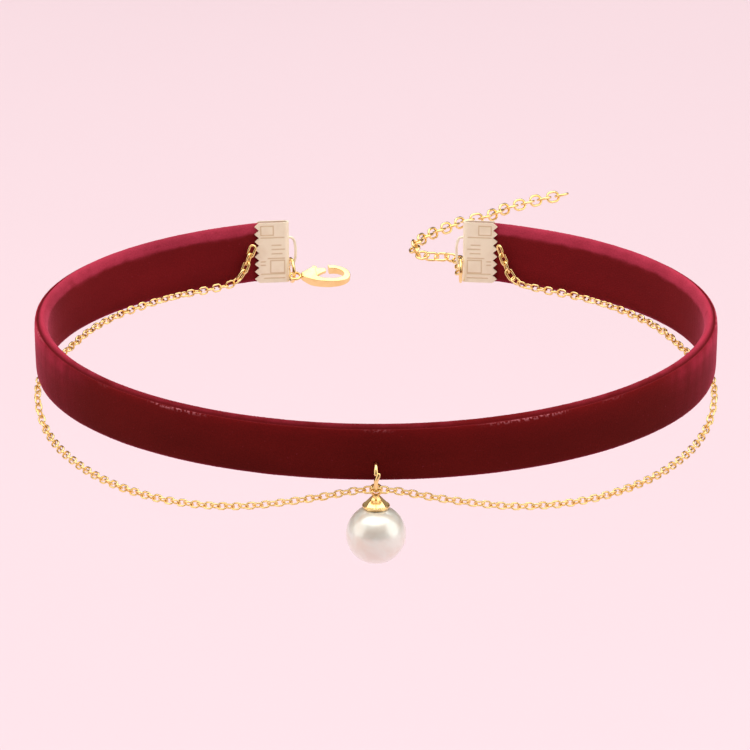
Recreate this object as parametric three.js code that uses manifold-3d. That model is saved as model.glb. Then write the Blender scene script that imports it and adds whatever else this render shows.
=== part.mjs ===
// Choker necklace: a velvet ribbon with crimped ends, a lobster clasp, an extender chain,
// a fine swag chain and a pearl drop, in the form that it has round a neck.
// Millimetres, +Z up, the front of the neck towards -Y.
// The origin is the middle of the neck loop at half the height of the ribbon.

import * as THREE from "three";
import { mergeVertices } from "three/addons/utils/BufferGeometryUtils.js";
import Module from "manifold-3d";

const wasm = await Module();
wasm.setup();

const rad = THREE.MathUtils.degToRad;

// Neck loop, along the middle of the ribbon
const loopHalfWidth = 54.1;
const loopHalfDepth = 48.7;
const loopEggShift = 0.84;
const backGap = 29.4;

// Velvet ribbon, folded double, so it is padded and its edges are round
const ribbonWidth = 10;
const ribbonThickness = 2.2;
const ribbonGripThickness = 1;
const ribbonSqueezeLength = 2.6;
const ribbonLeanFront = 11.4;
const ribbonLeanSide = 1.5;
const ribbonLeanBack = 6;
const ribbonFacePower = 0.8;
const ribbonEdgePower = 0.35;
const ribbonSteps = 80;
const ribbonSectionSides = 16;

// Clearances: soft against hard, and metal through metal
const softGap = 0.3;
const linkGap = 0.1;
const eyeGap = 0.3;
const ringLiftInLoop = 0.4;

// End crimps: a sheet folded over the ribbon's end, with teeth and a wire loop
const crimpLength = 5.8;
const crimpHeight = 10.2;
const crimpWall = 0.3;
const crimpTurnIn = 10;
const crimpTeeth = 8;
const crimpToothDepth = 0.75;
const crimpFoldSides = 8;
const loopReach = 1.1;
const loopHalfHeight = 2.35;
const loopWireRadius = 0.22;
const loopHeightOnCrimp = 0;
const loopArcPower = 0.5;
const loopArcPoints = 8;
const loopSteps = 14;

// Jump rings on the two crimps
const jumpRingRadius = 1.9;
const jumpRingWireRadius = 0.28;
const jumpRingOutFromFold = 0.38;
const jumpRingTurnLeft = 14;
const jumpRingTurnRight = 180;

// Lobster clasp
const claspReach = 9.2;
const claspWidth = 4.4;
const claspThickness = 1.5;
const claspLie = 18;
const claspEyeletRadius = 0.88;
const claspEyeletWireRadius = 0.25;
const claspAngleOnRing = 78;
const claspPull = 0.18;
const leverThickness = 0.55;
const leverSideGap = 0.2;
const leverRootRadius = 0.6;
const leverRootGap = 0.25;
const leverSlotLength = 2.1;
const pinRadius = 0.22;
const pinGap = 0.2;

// Extender chain
const linkCount = 33;
const linkLength = 2.7;
const linkWidth = 2.1;
const linkWireRadius = 0.21;
const linkFirstRoll = -25;
const linkTurnEach = 90;
const routePoints = 2000;
const extenderAngleOnRing = 60;

// Drop ring through the ribbon, pearl cap and pearl
const holeAboveEdge = 3.35;
const dropRingRadius = 2.5;
const dropRingWireRadius = 0.35;
const capEyeWireRadius = 0.22;
const capHeight = 2;
const capTopRadius = 0.45;
const capRimRadius = 2.2;
const capRimHeight = 0.35;
const capShoulderShare = 0.82;
const capSink = 0.2;
const pearlDiameter = 9.5;
const pegRadius = 0.45;
const pegLength = 2.4;
const drillGap = 0.25;

// Fine chain, as the tube that its links fill
const chainRadius = 0.75;
const chainSteps = 40;

// Faces round wires, rings, drilled holes and turned parts
const wireSides = 8;
const linkWireSides = 6;
const linkSteps = 12;
const ringSteps = 20;
const eyeSteps = 16;
const drillSides = 12;
const capSides = 20;
const capSeatSteps = 4;
const pearlSides = 28;
const pearlRows = 14;

// Route of the fine chain on the wearer's one side, and mirrored on the other:
// degrees round the loop, then shares of the ribbon's width: out from its middle, and height
const chainRoute = [
  [113.0, -0.205, 0.17],
  [114.2, -0.22, -0.08],
  [115.3, -0.245, -0.27],
  [117.2, -0.26, -0.4],
  [121.5, -0.265, -0.44],
  [130.0, -0.26, -0.44],
  [143.0, -0.25, -0.46],
  [154.6, -0.235, -0.5],
  [163.5, -0.2, -0.57],
  [172.0, -0.08, -0.63],
  [179.0, 0.05, -0.7],
  [183.2, 0.08, -0.82],
  [185.8, 0.07, -0.98],
  [188.8, 0.03, -1.13],
  [194.0, -0.02, -1.23],
  [202.0, -0.05, -1.27],
  [214.0, -0.05, -1.29],
  [225.0, -0.05, -1.28],
  [235.0, -0.05, -1.23],
  [246.0, -0.05, -1.105],
  [255.3, -0.05, -0.92],
  [262.2, 0.01, -0.75],
  [266.4, 0.09, -0.63],
  [269.2, 0.13, -0.58],
];

// Route of the extender chain from its ring's wire, in link lengths, level behind the neck
const extenderRoute = [
  [-0.19, 3, -0.17],
  [-0.74, 3.38, -0.22],
  [-1.36, 3.6, -0.26],
  [-2.23, 3.71, -0.26],
  [-2.76, 4.59, -0.26],
  [-2.78, 5.9, -0.26],
  [-2.22, 7.12, -0.26],
  [-1.4, 8.35, -0.26],
  [-0.51, 9.3, -0.26],
  [0.44, 10.39, -0.26],
  [1.32, 10.81, -0.26],
  [2.02, 11.38, -0.26],
  [2.66, 12.34, -0.26],
  [3.3, 13.03, -0.26],
  [4.13, 13.65, -0.26],
  [5.03, 14.38, -0.26],
  [6.31, 15.15, -0.26],
  [7.46, 15.93, -0.26],
];

// Outline of the clasp's body: share of the reach, share of half the width
const claspBackEdge = [
  [0.37, 0.68],
  [0.29, 0.64],
  [0.2, 0.42],
  [0.11, 0.2],
];
const claspBellyEdge = [
  [0.11, -0.2],
  [0.2, -0.52],
  [0.36, -0.86],
  [0.58, -1.0],
  [0.8, -0.92],
  [0.95, -0.58],
  [1.0, -0.08],
  [0.96, 0.44],
  [0.85, 0.8],
  [0.72, 0.97],
  [0.585, 1.0],
];
const claspHollowEdge = [
  [0.61, 0.64],
  [0.72, 0.62],
  [0.82, 0.46],
  [0.88, 0.12],
  [0.87, -0.24],
  [0.78, -0.52],
  [0.62, -0.62],
  [0.47, -0.54],
  [0.39, -0.26],
];
const pivotShare = [0.32, 0.1];

// The body's edge seen from the side: share of the reach, share of half the thickness
const claspSideEdge = [
  [0.08, 0.5],
  [0.27, 1.0],
  [0.6, 0.95],
  [0.9, 0.75],
  [1.05, 0.45],
];

// Outline of the clasp's lever from its root, in the same shares
const leverLowerEdge = [
  [0.38, -0.1],
  [0.46, 0.24],
  [0.56, 0.5],
];
const leverUpperEdge = [
  [0.55, 0.84],
  [0.47, 0.88],
  [0.4, 0.86],
];
const leverTab = [
  [0.385, 1.12],
  [0.315, 1.18],
  [0.28, 0.6],
];

// Materials
const velvet = new THREE.MeshStandardMaterial({ color: 0x5a1013, roughness: 0.95, metalness: 0 });
const gold = new THREE.MeshStandardMaterial({ color: 0xe2bd6a, roughness: 0.25, metalness: 1 });
const paleGold = new THREE.MeshStandardMaterial({ color: 0xeed6b0, roughness: 0.4, metalness: 1 });
const nacre = new THREE.MeshStandardMaterial({ color: 0xf1eee6, roughness: 0.2, metalness: 0 });

const necklace = new THREE.Group();

// Solids
function toSolid(geometry, matrix = new THREE.Matrix4()) {
  const bare = geometry.clone().applyMatrix4(matrix);
  bare.deleteAttribute("normal");
  bare.deleteAttribute("uv");
  const merged = mergeVertices(bare, 1e-4);
  return new wasm.Manifold(new wasm.Mesh({
    numProp: 3,
    vertProperties: new Float32Array(merged.attributes.position.array),
    triVerts: new Uint32Array(merged.index.array),
  }));
}

function toGeometry(solid) {
  const mesh = solid.getMesh();
  const geometry = new THREE.BufferGeometry();
  geometry.setAttribute("position", new THREE.BufferAttribute(mesh.vertProperties, 3));
  geometry.setIndex(new THREE.BufferAttribute(mesh.triVerts, 1));
  geometry.computeVertexNormals();
  return geometry;
}

function addMesh(parent, name, geometry, material) {
  const mesh = new THREE.Mesh(geometry, material);
  mesh.name = name;
  parent.add(mesh);
  return mesh;
}

// The loop's middle line, and how the ribbon stands on it
function loopPoint(angle) {
  const x = loopHalfWidth * Math.cos(angle);
  const y = loopHalfDepth * Math.sin(angle) + loopEggShift * Math.cos(2 * angle);
  return new THREE.Vector3(x, y, 0);
}

function loopTangent(angle) {
  const x = -loopHalfWidth * Math.sin(angle);
  const y = loopHalfDepth * Math.cos(angle) - 2 * loopEggShift * Math.sin(2 * angle);
  return new THREE.Vector3(x, y, 0);
}

function loopOutward(angle) {
  const along = loopTangent(angle).normalize();
  return new THREE.Vector3(along.y, -along.x, 0);
}

function ribbonLean(angle) {
  const atEnd = Math.sin(angle) < 0 ? ribbonLeanFront : ribbonLeanBack;
  return rad(ribbonLeanSide + (atEnd - ribbonLeanSide) * Math.sin(angle) ** 2);
}

function ribbonUp(angle) {
  const lean = ribbonLean(angle);
  return loopOutward(angle).multiplyScalar(Math.sin(lean)).setZ(Math.cos(lean));
}

function ribbonFace(angle) {
  const lean = ribbonLean(angle);
  return loopOutward(angle).multiplyScalar(Math.cos(lean)).setZ(-Math.sin(lean));
}

// Angles of the front, and of the ends: the fold of each crimp, the mouth at its teeth, and the
// ribbon's end inside
const frontAngle = 1.5 * Math.PI;
const foldAngle = Math.acos(-backGap / 2 / loopHalfWidth);
const angleEachMm = 1 / loopTangent(foldAngle).length();
const mouthAngle = foldAngle + crimpLength * angleEachMm;
const ribbonEndAngle = foldAngle + (crimpWall + 2 * softGap) * angleEachMm;

// A skin over rings of points, closed at both ends
function loftGeometry(rings) {
  const sides = rings[0].length;
  const positions = rings.flat().flatMap((point) => point.toArray());
  const index = [];
  for (let i = 0; i < rings.length - 1; i += 1) {
    for (let j = 0; j < sides; j += 1) {
      const a = i * sides + j;
      const b = i * sides + (j + 1) % sides;
      index.push(a, a + sides, b, b, a + sides, b + sides);
    }
  }
  const last = (rings.length - 1) * sides;
  for (let j = 1; j < sides - 1; j += 1) {
    index.push(0, j, j + 1);
    index.push(last, last + j + 1, last + j);
  }
  const geometry = new THREE.BufferGeometry();
  geometry.setAttribute("position", new THREE.Float32BufferAttribute(positions, 3));
  geometry.setIndex(index);
  return geometry;
}

function signedPower(value, power) {
  return Math.sign(value) * Math.abs(value) ** power;
}

// A crimp's own frame: X from the ribbon towards the fold, Y across the sheet, Z up the ribbon.
// Its fold turns in from the loop's line, so that the back of the loop is flat.
function crimpFrame(side) {
  const fold = side < 0 ? foldAngle : 3 * Math.PI - foldAngle;
  const mouth = side < 0 ? mouthAngle : 3 * Math.PI - mouthAngle;
  const along = loopPoint(fold).sub(loopPoint(mouth)).normalize();
  along.applyAxisAngle(new THREE.Vector3(0, 0, 1), side * rad(crimpTurnIn));
  const up = ribbonUp(fold);
  const out = new THREE.Vector3().crossVectors(up, along).normalize();
  const trueUp = new THREE.Vector3().crossVectors(along, out);
  const origin = loopPoint(mouth).addScaledVector(along, crimpLength);
  return new THREE.Matrix4().makeBasis(along, out, trueUp).setPosition(origin);
}

// The ribbon follows the loop, and inside a crimp it follows the crimp
function ribbonPlace(angle, awayFromMouth) {
  if (awayFromMouth >= 0) {
    return { middle: loopPoint(angle), face: ribbonFace(angle), up: ribbonUp(angle) };
  }
  const side = angle < frontAngle ? -1 : 1;
  const frame = crimpFrame(side);
  const middle = new THREE.Vector3(-crimpLength - awayFromMouth, 0, 0).applyMatrix4(frame);
  const face = new THREE.Vector3().setFromMatrixColumn(frame, 1).multiplyScalar(-side);
  const up = new THREE.Vector3().setFromMatrixColumn(frame, 2);
  return { middle, face, up };
}

function ribbonRing(angle) {
  const awayFromMouth = (Math.min(angle, 3 * Math.PI - angle) - mouthAngle) / angleEachMm;
  const puff = THREE.MathUtils.smoothstep(awayFromMouth, 0, ribbonSqueezeLength);
  const thickness = THREE.MathUtils.lerp(ribbonGripThickness, ribbonThickness, puff);
  const { middle, face, up } = ribbonPlace(angle, awayFromMouth);
  const ring = [];
  for (let i = 0; i < ribbonSectionSides; i += 1) {
    const turn = 2 * Math.PI * i / ribbonSectionSides;
    const out = thickness / 2 * signedPower(Math.cos(turn), ribbonFacePower);
    const high = ribbonWidth / 2 * signedPower(Math.sin(turn), ribbonEdgePower);
    ring.push(middle.clone().addScaledVector(face, out).addScaledVector(up, high));
  }
  return ring;
}

// Drop ring: how it hangs in the ribbon's hole at the front
const holeHeight = holeAboveEdge - ribbonWidth / 2;
const holeCentre = loopPoint(frontAngle).addScaledVector(ribbonUp(frontAngle), holeHeight);
const ringTopInHole = dropRingRadius + dropRingWireRadius;
const ringLowInHole = Math.sqrt((dropRingRadius - dropRingWireRadius) ** 2 - (ribbonThickness / 2) ** 2);
const holeRadius = (ringTopInHole - ringLowInHole) / 2 + softGap;
const dropRingCentre = holeCentre.clone();
dropRingCentre.z -= (ringTopInHole + ringLowInHole) / 2;

function addRibbon() {
  const endSteps = [0, 0.5, 1];
  const angles = endSteps.map((share) => THREE.MathUtils.lerp(ribbonEndAngle, mouthAngle, share));
  const puffAngle = mouthAngle + ribbonSqueezeLength * angleEachMm;
  angles.push((mouthAngle + puffAngle) / 2);
  const lastPuffAngle = 3 * Math.PI - puffAngle;
  for (let i = 0; i <= ribbonSteps; i += 1) {
    angles.push(THREE.MathUtils.lerp(puffAngle, lastPuffAngle, i / ribbonSteps));
  }
  const mirrored = angles.slice(0, endSteps.length + 1).reverse();
  angles.push(...mirrored.map((angle) => 3 * Math.PI - angle));
  const band = toSolid(loftGeometry(angles.map(ribbonRing)));
  const drill = new THREE.CylinderGeometry(holeRadius, holeRadius, 3 * ribbonThickness, drillSides);
  const place = new THREE.Matrix4().makeTranslation(holeCentre);
  const pierced = band.subtract(toSolid(drill, place));
  addMesh(necklace, "velvet_ribbon", toGeometry(pierced), velvet);
}

// The sheet seen from above: a U with its round fold towards the free end
function crimpSheet(insideHalf, outsideHalf) {
  const shape = new THREE.Shape();
  shape.moveTo(-crimpLength, -outsideHalf);
  shape.lineTo(-outsideHalf, -outsideHalf);
  shape.absarc(-outsideHalf, 0, outsideHalf, -Math.PI / 2, Math.PI / 2, false);
  shape.lineTo(-crimpLength, outsideHalf);
  shape.lineTo(-crimpLength, insideHalf);
  shape.lineTo(-outsideHalf, insideHalf);
  shape.absarc(-outsideHalf, 0, insideHalf, Math.PI / 2, -Math.PI / 2, true);
  shape.lineTo(-crimpLength, -insideHalf);
  const sheet = new THREE.ExtrudeGeometry(shape, {
    depth: crimpHeight, bevelEnabled: false, curveSegments: crimpFoldSides,
  });
  return toSolid(sheet, new THREE.Matrix4().makeTranslation(0, 0, -crimpHeight / 2));
}

// What the punch takes away between the teeth
function crimpNotches(outsideHalf) {
  const pitch = crimpHeight / crimpTeeth;
  const shape = new THREE.Shape();
  shape.moveTo(-crimpLength - crimpToothDepth, -crimpHeight);
  for (let i = 0; i <= crimpTeeth; i += 1) {
    const root = -crimpHeight / 2 + i * pitch;
    shape.lineTo(-crimpLength + crimpToothDepth, root);
    if (i < crimpTeeth) {
      shape.lineTo(-crimpLength, root + pitch / 2);
    }
  }
  shape.lineTo(-crimpLength - crimpToothDepth, crimpHeight);
  const depth = 4 * outsideHalf;
  const cutter = new THREE.ExtrudeGeometry(shape, { depth, bevelEnabled: false });
  const turn = new THREE.Matrix4().makeRotationX(Math.PI / 2);
  turn.setPosition(0, depth / 2, 0);
  return toSolid(cutter, turn);
}

// A wire of even thickness along a curve
function wireGeometry(curve, radius, steps) {
  const section = new THREE.Shape();
  for (let i = 0; i < wireSides; i += 1) {
    const turn = 2 * Math.PI * i / wireSides;
    section[i === 0 ? "moveTo" : "lineTo"](radius * Math.cos(turn), radius * Math.sin(turn));
  }
  section.closePath();
  return new THREE.ExtrudeGeometry(section, { steps, bevelEnabled: false, extrudePath: curve });
}

function crimpLoop() {
  const foot = -crimpWall / 2;
  const arc = [];
  for (let i = 0; i <= loopArcPoints; i += 1) {
    const turn = Math.PI * (i / loopArcPoints - 0.5);
    const x = foot + (loopReach - foot) * Math.max(0, Math.cos(turn)) ** loopArcPower;
    arc.push(new THREE.Vector3(x, 0, loopHeightOnCrimp + loopHalfHeight * Math.sin(turn)));
  }
  const curve = new THREE.CatmullRomCurve3(arc);
  return toSolid(wireGeometry(curve, loopWireRadius, loopSteps));
}

function addCrimp(side, name) {
  const insideHalf = ribbonGripThickness / 2 + softGap;
  const outsideHalf = insideHalf + crimpWall;
  const sheet = crimpSheet(insideHalf, outsideHalf).subtract(crimpNotches(outsideHalf));
  const mesh = addMesh(necklace, name, toGeometry(sheet.add(crimpLoop())), paleGold);
  mesh.applyMatrix4(crimpFrame(side));
}

// Round rings
function ringGeometry(radius, wireRadius) {
  return new THREE.TorusGeometry(radius, wireRadius, wireSides, ringSteps);
}

// The jump ring passes through the lower end of the crimp's loop and hangs upright
function jumpRingPlace(side, turn) {
  const holeLow = loopHeightOnCrimp - loopHalfHeight + loopWireRadius;
  const height = holeLow + jumpRingWireRadius + ringLiftInLoop;
  const wire = new THREE.Vector3(jumpRingOutFromFold, 0, height);
  wire.applyMatrix4(crimpFrame(side));
  const group = new THREE.Group();
  group.position.copy(wire);
  group.position.z -= jumpRingRadius;
  group.rotation.z = rad(turn);
  group.updateMatrixWorld();
  return group;
}

// A point on a jump ring's wire, by its angle forward of the ring's lowest point
function pointOnJumpRing(place, degrees) {
  const angle = rad(degrees);
  const point = new THREE.Vector3(0, -Math.sin(angle), -Math.cos(angle));
  return place.localToWorld(point.multiplyScalar(jumpRingRadius));
}

function addJumpRing(place, name) {
  const geometry = ringGeometry(jumpRingRadius, jumpRingWireRadius).rotateY(Math.PI / 2);
  addMesh(place, name, geometry, gold);
  necklace.add(place);
}

// Clasp, in its own frame: X from the eyelet to the tip, Y across, Z through its thickness
function claspPoint([along, across]) {
  return new THREE.Vector2(along * claspReach, across * claspWidth / 2);
}

function claspPlate(shape, thickness) {
  const plate = new THREE.ExtrudeGeometry(shape, {
    depth: thickness, bevelEnabled: false, curveSegments: 3,
  });
  return toSolid(plate, new THREE.Matrix4().makeTranslation(0, 0, -thickness / 2));
}

// The body swells from the eyelet to the pivot and thins again towards the tip
function claspSwell() {
  const shape = new THREE.Shape();
  const place = ([along, high]) => [along * claspReach, high * claspThickness / 2];
  const upper = claspSideEdge.map(place);
  const lower = upper.map(([x, y]) => [x, -y]);
  const outline = [...lower, ...upper.reverse()].map(([x, y]) => new THREE.Vector2(x, y));
  shape.setFromPoints(outline);
  const swell = new THREE.ExtrudeGeometry(shape, { depth: 2 * claspWidth, bevelEnabled: false });
  const turn = new THREE.Matrix4().makeRotationX(Math.PI / 2);
  return toSolid(swell, turn.setPosition(0, claspWidth, 0));
}

const pivot = claspPoint(pivotShare);

function upright(radius, length) {
  const rod = new THREE.CylinderGeometry(radius, radius, length, drillSides).rotateX(Math.PI / 2);
  return toSolid(rod, new THREE.Matrix4().makeTranslation(pivot.x, pivot.y, 0));
}

function claspBody() {
  const shape = new THREE.Shape();
  const back = claspBackEdge.map(claspPoint);
  const belly = claspBellyEdge.map(claspPoint);
  const hollow = claspHollowEdge.map(claspPoint);
  shape.moveTo(back[0].x, back[0].y);
  shape.splineThru(back.slice(1));
  shape.lineTo(belly[0].x, belly[0].y);
  shape.splineThru(belly.slice(1));
  shape.lineTo(hollow[0].x, hollow[0].y);
  shape.splineThru(hollow.slice(1));
  const slotWidth = leverThickness + 2 * leverSideGap;
  const slotRadius = leverRootRadius + leverRootGap;
  const slotBox = new THREE.BoxGeometry(leverSlotLength, claspWidth, slotWidth);
  const slotAt = new THREE.Vector3(pivot.x - slotRadius, pivot.y, 0);
  slotAt.x += leverSlotLength / 2;
  slotAt.y += claspWidth / 2;
  const eyelet = new THREE.TorusGeometry(claspEyeletRadius, claspEyeletWireRadius, wireSides, eyeSteps);
  return claspPlate(shape, claspThickness)
    .intersect(claspSwell())
    .subtract(toSolid(slotBox, new THREE.Matrix4().makeTranslation(slotAt)))
    .subtract(upright(slotRadius, slotWidth))
    .add(upright(pinRadius, claspThickness - leverSideGap))
    .add(toSolid(eyelet));
}

function claspLever() {
  const shape = new THREE.Shape();
  const lower = leverLowerEdge.map(claspPoint);
  const upper = leverUpperEdge.map(claspPoint);
  const tab = leverTab.map(claspPoint);
  shape.moveTo(lower[0].x, lower[0].y);
  shape.splineThru(lower.slice(1));
  shape.lineTo(upper[0].x, upper[0].y);
  shape.splineThru(upper.slice(1));
  tab.forEach((point) => shape.lineTo(point.x, point.y));
  shape.lineTo(pivot.x, pivot.y);
  return claspPlate(shape, leverThickness)
    .add(upright(leverRootRadius, leverThickness))
    .subtract(upright(pinRadius + pinGap, 2 * claspThickness));
}

function addClasp(eyeletCentre) {
  const clasp = new THREE.Group();
  clasp.position.copy(eyeletCentre);
  clasp.position.x += claspPull;
  clasp.rotation.x = rad(claspLie);
  addMesh(clasp, "clasp_body", toGeometry(claspBody()), gold);
  addMesh(clasp, "clasp_lever", toGeometry(claspLever()), gold);
  necklace.add(clasp);
}

// Extender: oval links, each through the next, a quarter turn apart
function linkGeometry() {
  const bend = linkWidth / 2 - linkWireRadius;
  const straight = (linkLength - linkWidth) / 2;
  const geometry = new THREE.TorusGeometry(bend, linkWireRadius, linkWireSides, linkSteps);
  const position = geometry.attributes.position;
  for (let i = 0; i < position.count; i += 1) {
    const x = position.getX(i);
    const push = Math.abs(x) < linkWireRadius ? 0 : Math.sign(x) * straight;
    position.setX(i, x + push);
  }
  return geometry;
}

function addExtender(ringPoint) {
  const pitch = linkLength - 4 * linkWireRadius - linkGap;
  const halfLink = linkLength / 2 - linkWireRadius;
  const firstEnd = halfLink - (jumpRingWireRadius + linkWireRadius + linkGap);
  const route = extenderRoute.map((offset) => {
    return new THREE.Vector3(...offset).multiplyScalar(linkLength).add(ringPoint);
  });
  const heading = route[0].clone().sub(ringPoint).normalize();
  const start = ringPoint.clone().addScaledVector(heading, firstEnd - pitch / 2);
  const curve = new THREE.CatmullRomCurve3([start, ...route], false, "centripetal");
  const fine = curve.getSpacedPoints(routePoints);
  const joints = [start];
  fine.forEach((point) => {
    if (joints.length <= linkCount && point.distanceTo(joints[joints.length - 1]) >= pitch) {
      joints.push(point);
    }
  });
  const geometry = linkGeometry();
  for (let i = 0; i < linkCount; i += 1) {
    const along = joints[i + 1].clone().sub(joints[i]).normalize();
    const side = new THREE.Vector3(0, 0, 1).cross(along).normalize();
    const roll = rad(linkFirstRoll + linkTurnEach * (i % 2));
    const across = side.applyAxisAngle(along, roll);
    const normal = new THREE.Vector3().crossVectors(along, across);
    const number = String(i + 1).padStart(2, "0");
    const mesh = addMesh(necklace, `extender_link_${number}`, geometry, gold);
    const place = new THREE.Matrix4().makeBasis(along, across, normal);
    mesh.applyMatrix4(place.setPosition(joints[i].clone().lerp(joints[i + 1], 0.5)));
  }
}

// Drop: the cap's eye round the ring's lowest point, the cap, and the pearl on its peg
const eyeRadius = dropRingWireRadius + eyeGap + capEyeWireRadius;
const eyeCentre = dropRingCentre.clone();
eyeCentre.z -= dropRingRadius;
const capTop = -eyeRadius - capEyeWireRadius + capSink;
const capRim = capTop - capHeight;
const seatRadius = pearlDiameter / 2 + softGap;
const pearlHeight = capRim - Math.sqrt(seatRadius ** 2 - capRimRadius ** 2);

function latheSolid(profile, segments) {
  const points = profile.map(([radius, height]) => new THREE.Vector2(radius, height));
  return toSolid(new THREE.LatheGeometry(points, segments).rotateX(Math.PI / 2));
}

function addCap(drop) {
  const profile = [[0, pearlHeight + pearlDiameter / 2 - pegLength]];
  profile.push([pegRadius, profile[0][1]]);
  for (let i = 0; i <= capSeatSteps; i += 1) {
    const radius = THREE.MathUtils.lerp(pegRadius, capRimRadius - softGap, i / capSeatSteps);
    profile.push([radius, pearlHeight + Math.sqrt(seatRadius ** 2 - radius ** 2)]);
  }
  profile.push([capRimRadius, capRim]);
  profile.push([capRimRadius, capRim + capRimHeight]);
  profile.push([capRimRadius * capShoulderShare, capRim + capRimHeight * 1.5]);
  profile.push([capTopRadius, capTop]);
  profile.push([0, capTop]);
  const eye = new THREE.TorusGeometry(eyeRadius, capEyeWireRadius, wireSides, eyeSteps);
  const cap = latheSolid(profile, capSides).add(toSolid(eye.rotateX(Math.PI / 2)));
  addMesh(drop, "pearl_cap", toGeometry(cap), gold);
}

function addPearl(drop) {
  const radius = pearlDiameter / 2;
  const drillRadius = pegRadius + drillGap;
  const drillAngle = Math.asin(drillRadius / radius);
  const drillBottom = radius - pegLength - drillGap;
  const profile = [];
  for (let i = 0; i <= pearlRows; i += 1) {
    const turn = THREE.MathUtils.lerp(Math.PI, drillAngle, i / pearlRows);
    profile.push([i === 0 ? 0 : radius * Math.sin(turn), radius * Math.cos(turn)]);
  }
  profile.push([drillRadius, drillBottom]);
  profile.push([0, drillBottom]);
  const mesh = addMesh(drop, "pearl", toGeometry(latheSolid(profile, pearlSides)), nacre);
  mesh.position.z = pearlHeight;
}

function addDrop() {
  const ring = ringGeometry(dropRingRadius, dropRingWireRadius).rotateY(Math.PI / 2);
  addMesh(necklace, "drop_ring", ring, gold).position.copy(dropRingCentre);
  const drop = new THREE.Group();
  drop.position.copy(eyeCentre);
  addCap(drop);
  addPearl(drop);
  necklace.add(drop);
}

// The fine chain on one side, from the crimp's teeth to the drop ring
function addChain(side, name) {
  const points = chainRoute.map(([degrees, out, height]) => {
    const point = loopPoint(rad(degrees));
    point.addScaledVector(loopOutward(rad(degrees)), out * ribbonWidth);
    return new THREE.Vector3(-side * point.x, point.y, height * ribbonWidth);
  });
  const curve = new THREE.CatmullRomCurve3(points, false, "centripetal");
  addMesh(necklace, name, wireGeometry(curve, chainRadius, chainSteps), gold);
}

addRibbon();
addCrimp(-1, "crimp_left");
addCrimp(1, "crimp_right");
const leftRing = jumpRingPlace(-1, jumpRingTurnLeft);
addJumpRing(leftRing, "clasp_ring");
addClasp(pointOnJumpRing(leftRing, claspAngleOnRing));
const rightRing = jumpRingPlace(1, jumpRingTurnRight);
addJumpRing(rightRing, "extender_ring");
addExtender(pointOnJumpRing(rightRing, extenderAngleOnRing));
addDrop();
addChain(-1, "chain_left");
addChain(1, "chain_right");

export default necklace;
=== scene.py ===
"""Velvet choker necklace with a swag chain, a pearl drop, a lobster clasp and an extender chain."""

import math

import bmesh
import bpy
from bpy.props import FloatProperty, FloatVectorProperty, IntProperty, PointerProperty
from mathutils import Matrix, Vector, noise


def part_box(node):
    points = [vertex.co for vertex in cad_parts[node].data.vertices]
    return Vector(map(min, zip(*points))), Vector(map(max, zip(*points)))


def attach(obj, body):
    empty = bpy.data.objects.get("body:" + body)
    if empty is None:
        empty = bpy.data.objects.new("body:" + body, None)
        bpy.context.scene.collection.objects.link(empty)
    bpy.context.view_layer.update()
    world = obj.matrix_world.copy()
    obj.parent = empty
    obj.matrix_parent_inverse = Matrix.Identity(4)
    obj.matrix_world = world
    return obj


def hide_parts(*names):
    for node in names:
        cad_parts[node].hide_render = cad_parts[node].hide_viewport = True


bl_info = {
    "name": "Velvet choker necklace",
    "version": (1, 0, 0),
    "blender": (4, 5, 0),
    "location": "View3D > Sidebar > Choker",
    "description": "Makes a velvet ribbon choker with its crimps, chains, clasp and pearl drop",
    "category": "Add Mesh",
}

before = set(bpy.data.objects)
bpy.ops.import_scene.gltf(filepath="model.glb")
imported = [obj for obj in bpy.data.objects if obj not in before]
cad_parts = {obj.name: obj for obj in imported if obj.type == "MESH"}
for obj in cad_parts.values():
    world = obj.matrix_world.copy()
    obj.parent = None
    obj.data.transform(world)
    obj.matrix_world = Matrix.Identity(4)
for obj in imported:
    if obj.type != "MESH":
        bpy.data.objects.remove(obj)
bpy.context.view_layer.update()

MM = 0.001
ASIDE = Vector((1.0, 0.0, 0.0))
BACK = Vector((0.0, 1.0, 0.0))
UP = Vector((0.0, 0.0, 1.0))

# Zones of the ribbon's surface, each a weight from 0 to 1 on its points. Besides the groove's
# shape, they carry painted light: painted highlight, sheen, shade and glints in the velvet's colour
RIBBON_MARKS = ("roll", "groove", "lip", "inner", "hem", "brow", "spread")

# Route of the fine chain on the wearer's one side, from the crimp's teeth to the drop ring:
# degrees round the loop, then shares of the ribbon's width: out from its middle, and height
CHAIN_ROUTE = (
    (113.0, -0.205, 0.17),
    (114.2, -0.22, -0.08),
    (115.3, -0.245, -0.27),
    (117.2, -0.26, -0.4),
    (121.5, -0.265, -0.44),
    (130.0, -0.26, -0.44),
    (143.0, -0.25, -0.46),
    (154.6, -0.235, -0.5),
    (163.5, -0.2, -0.57),
    (172.0, -0.08, -0.63),
    (179.0, 0.05, -0.7),
    (183.2, 0.08, -0.82),
    (185.8, 0.07, -0.98),
    (188.8, 0.03, -1.13),
    (194.0, -0.02, -1.23),
    (202.0, -0.05, -1.27),
    (214.0, -0.05, -1.29),
    (225.0, -0.05, -1.28),
    (235.0, -0.05, -1.23),
    (246.0, -0.05, -1.105),
    (255.3, -0.05, -0.92),
    (262.2, 0.01, -0.75),
    (266.4, 0.09, -0.63),
)

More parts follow.
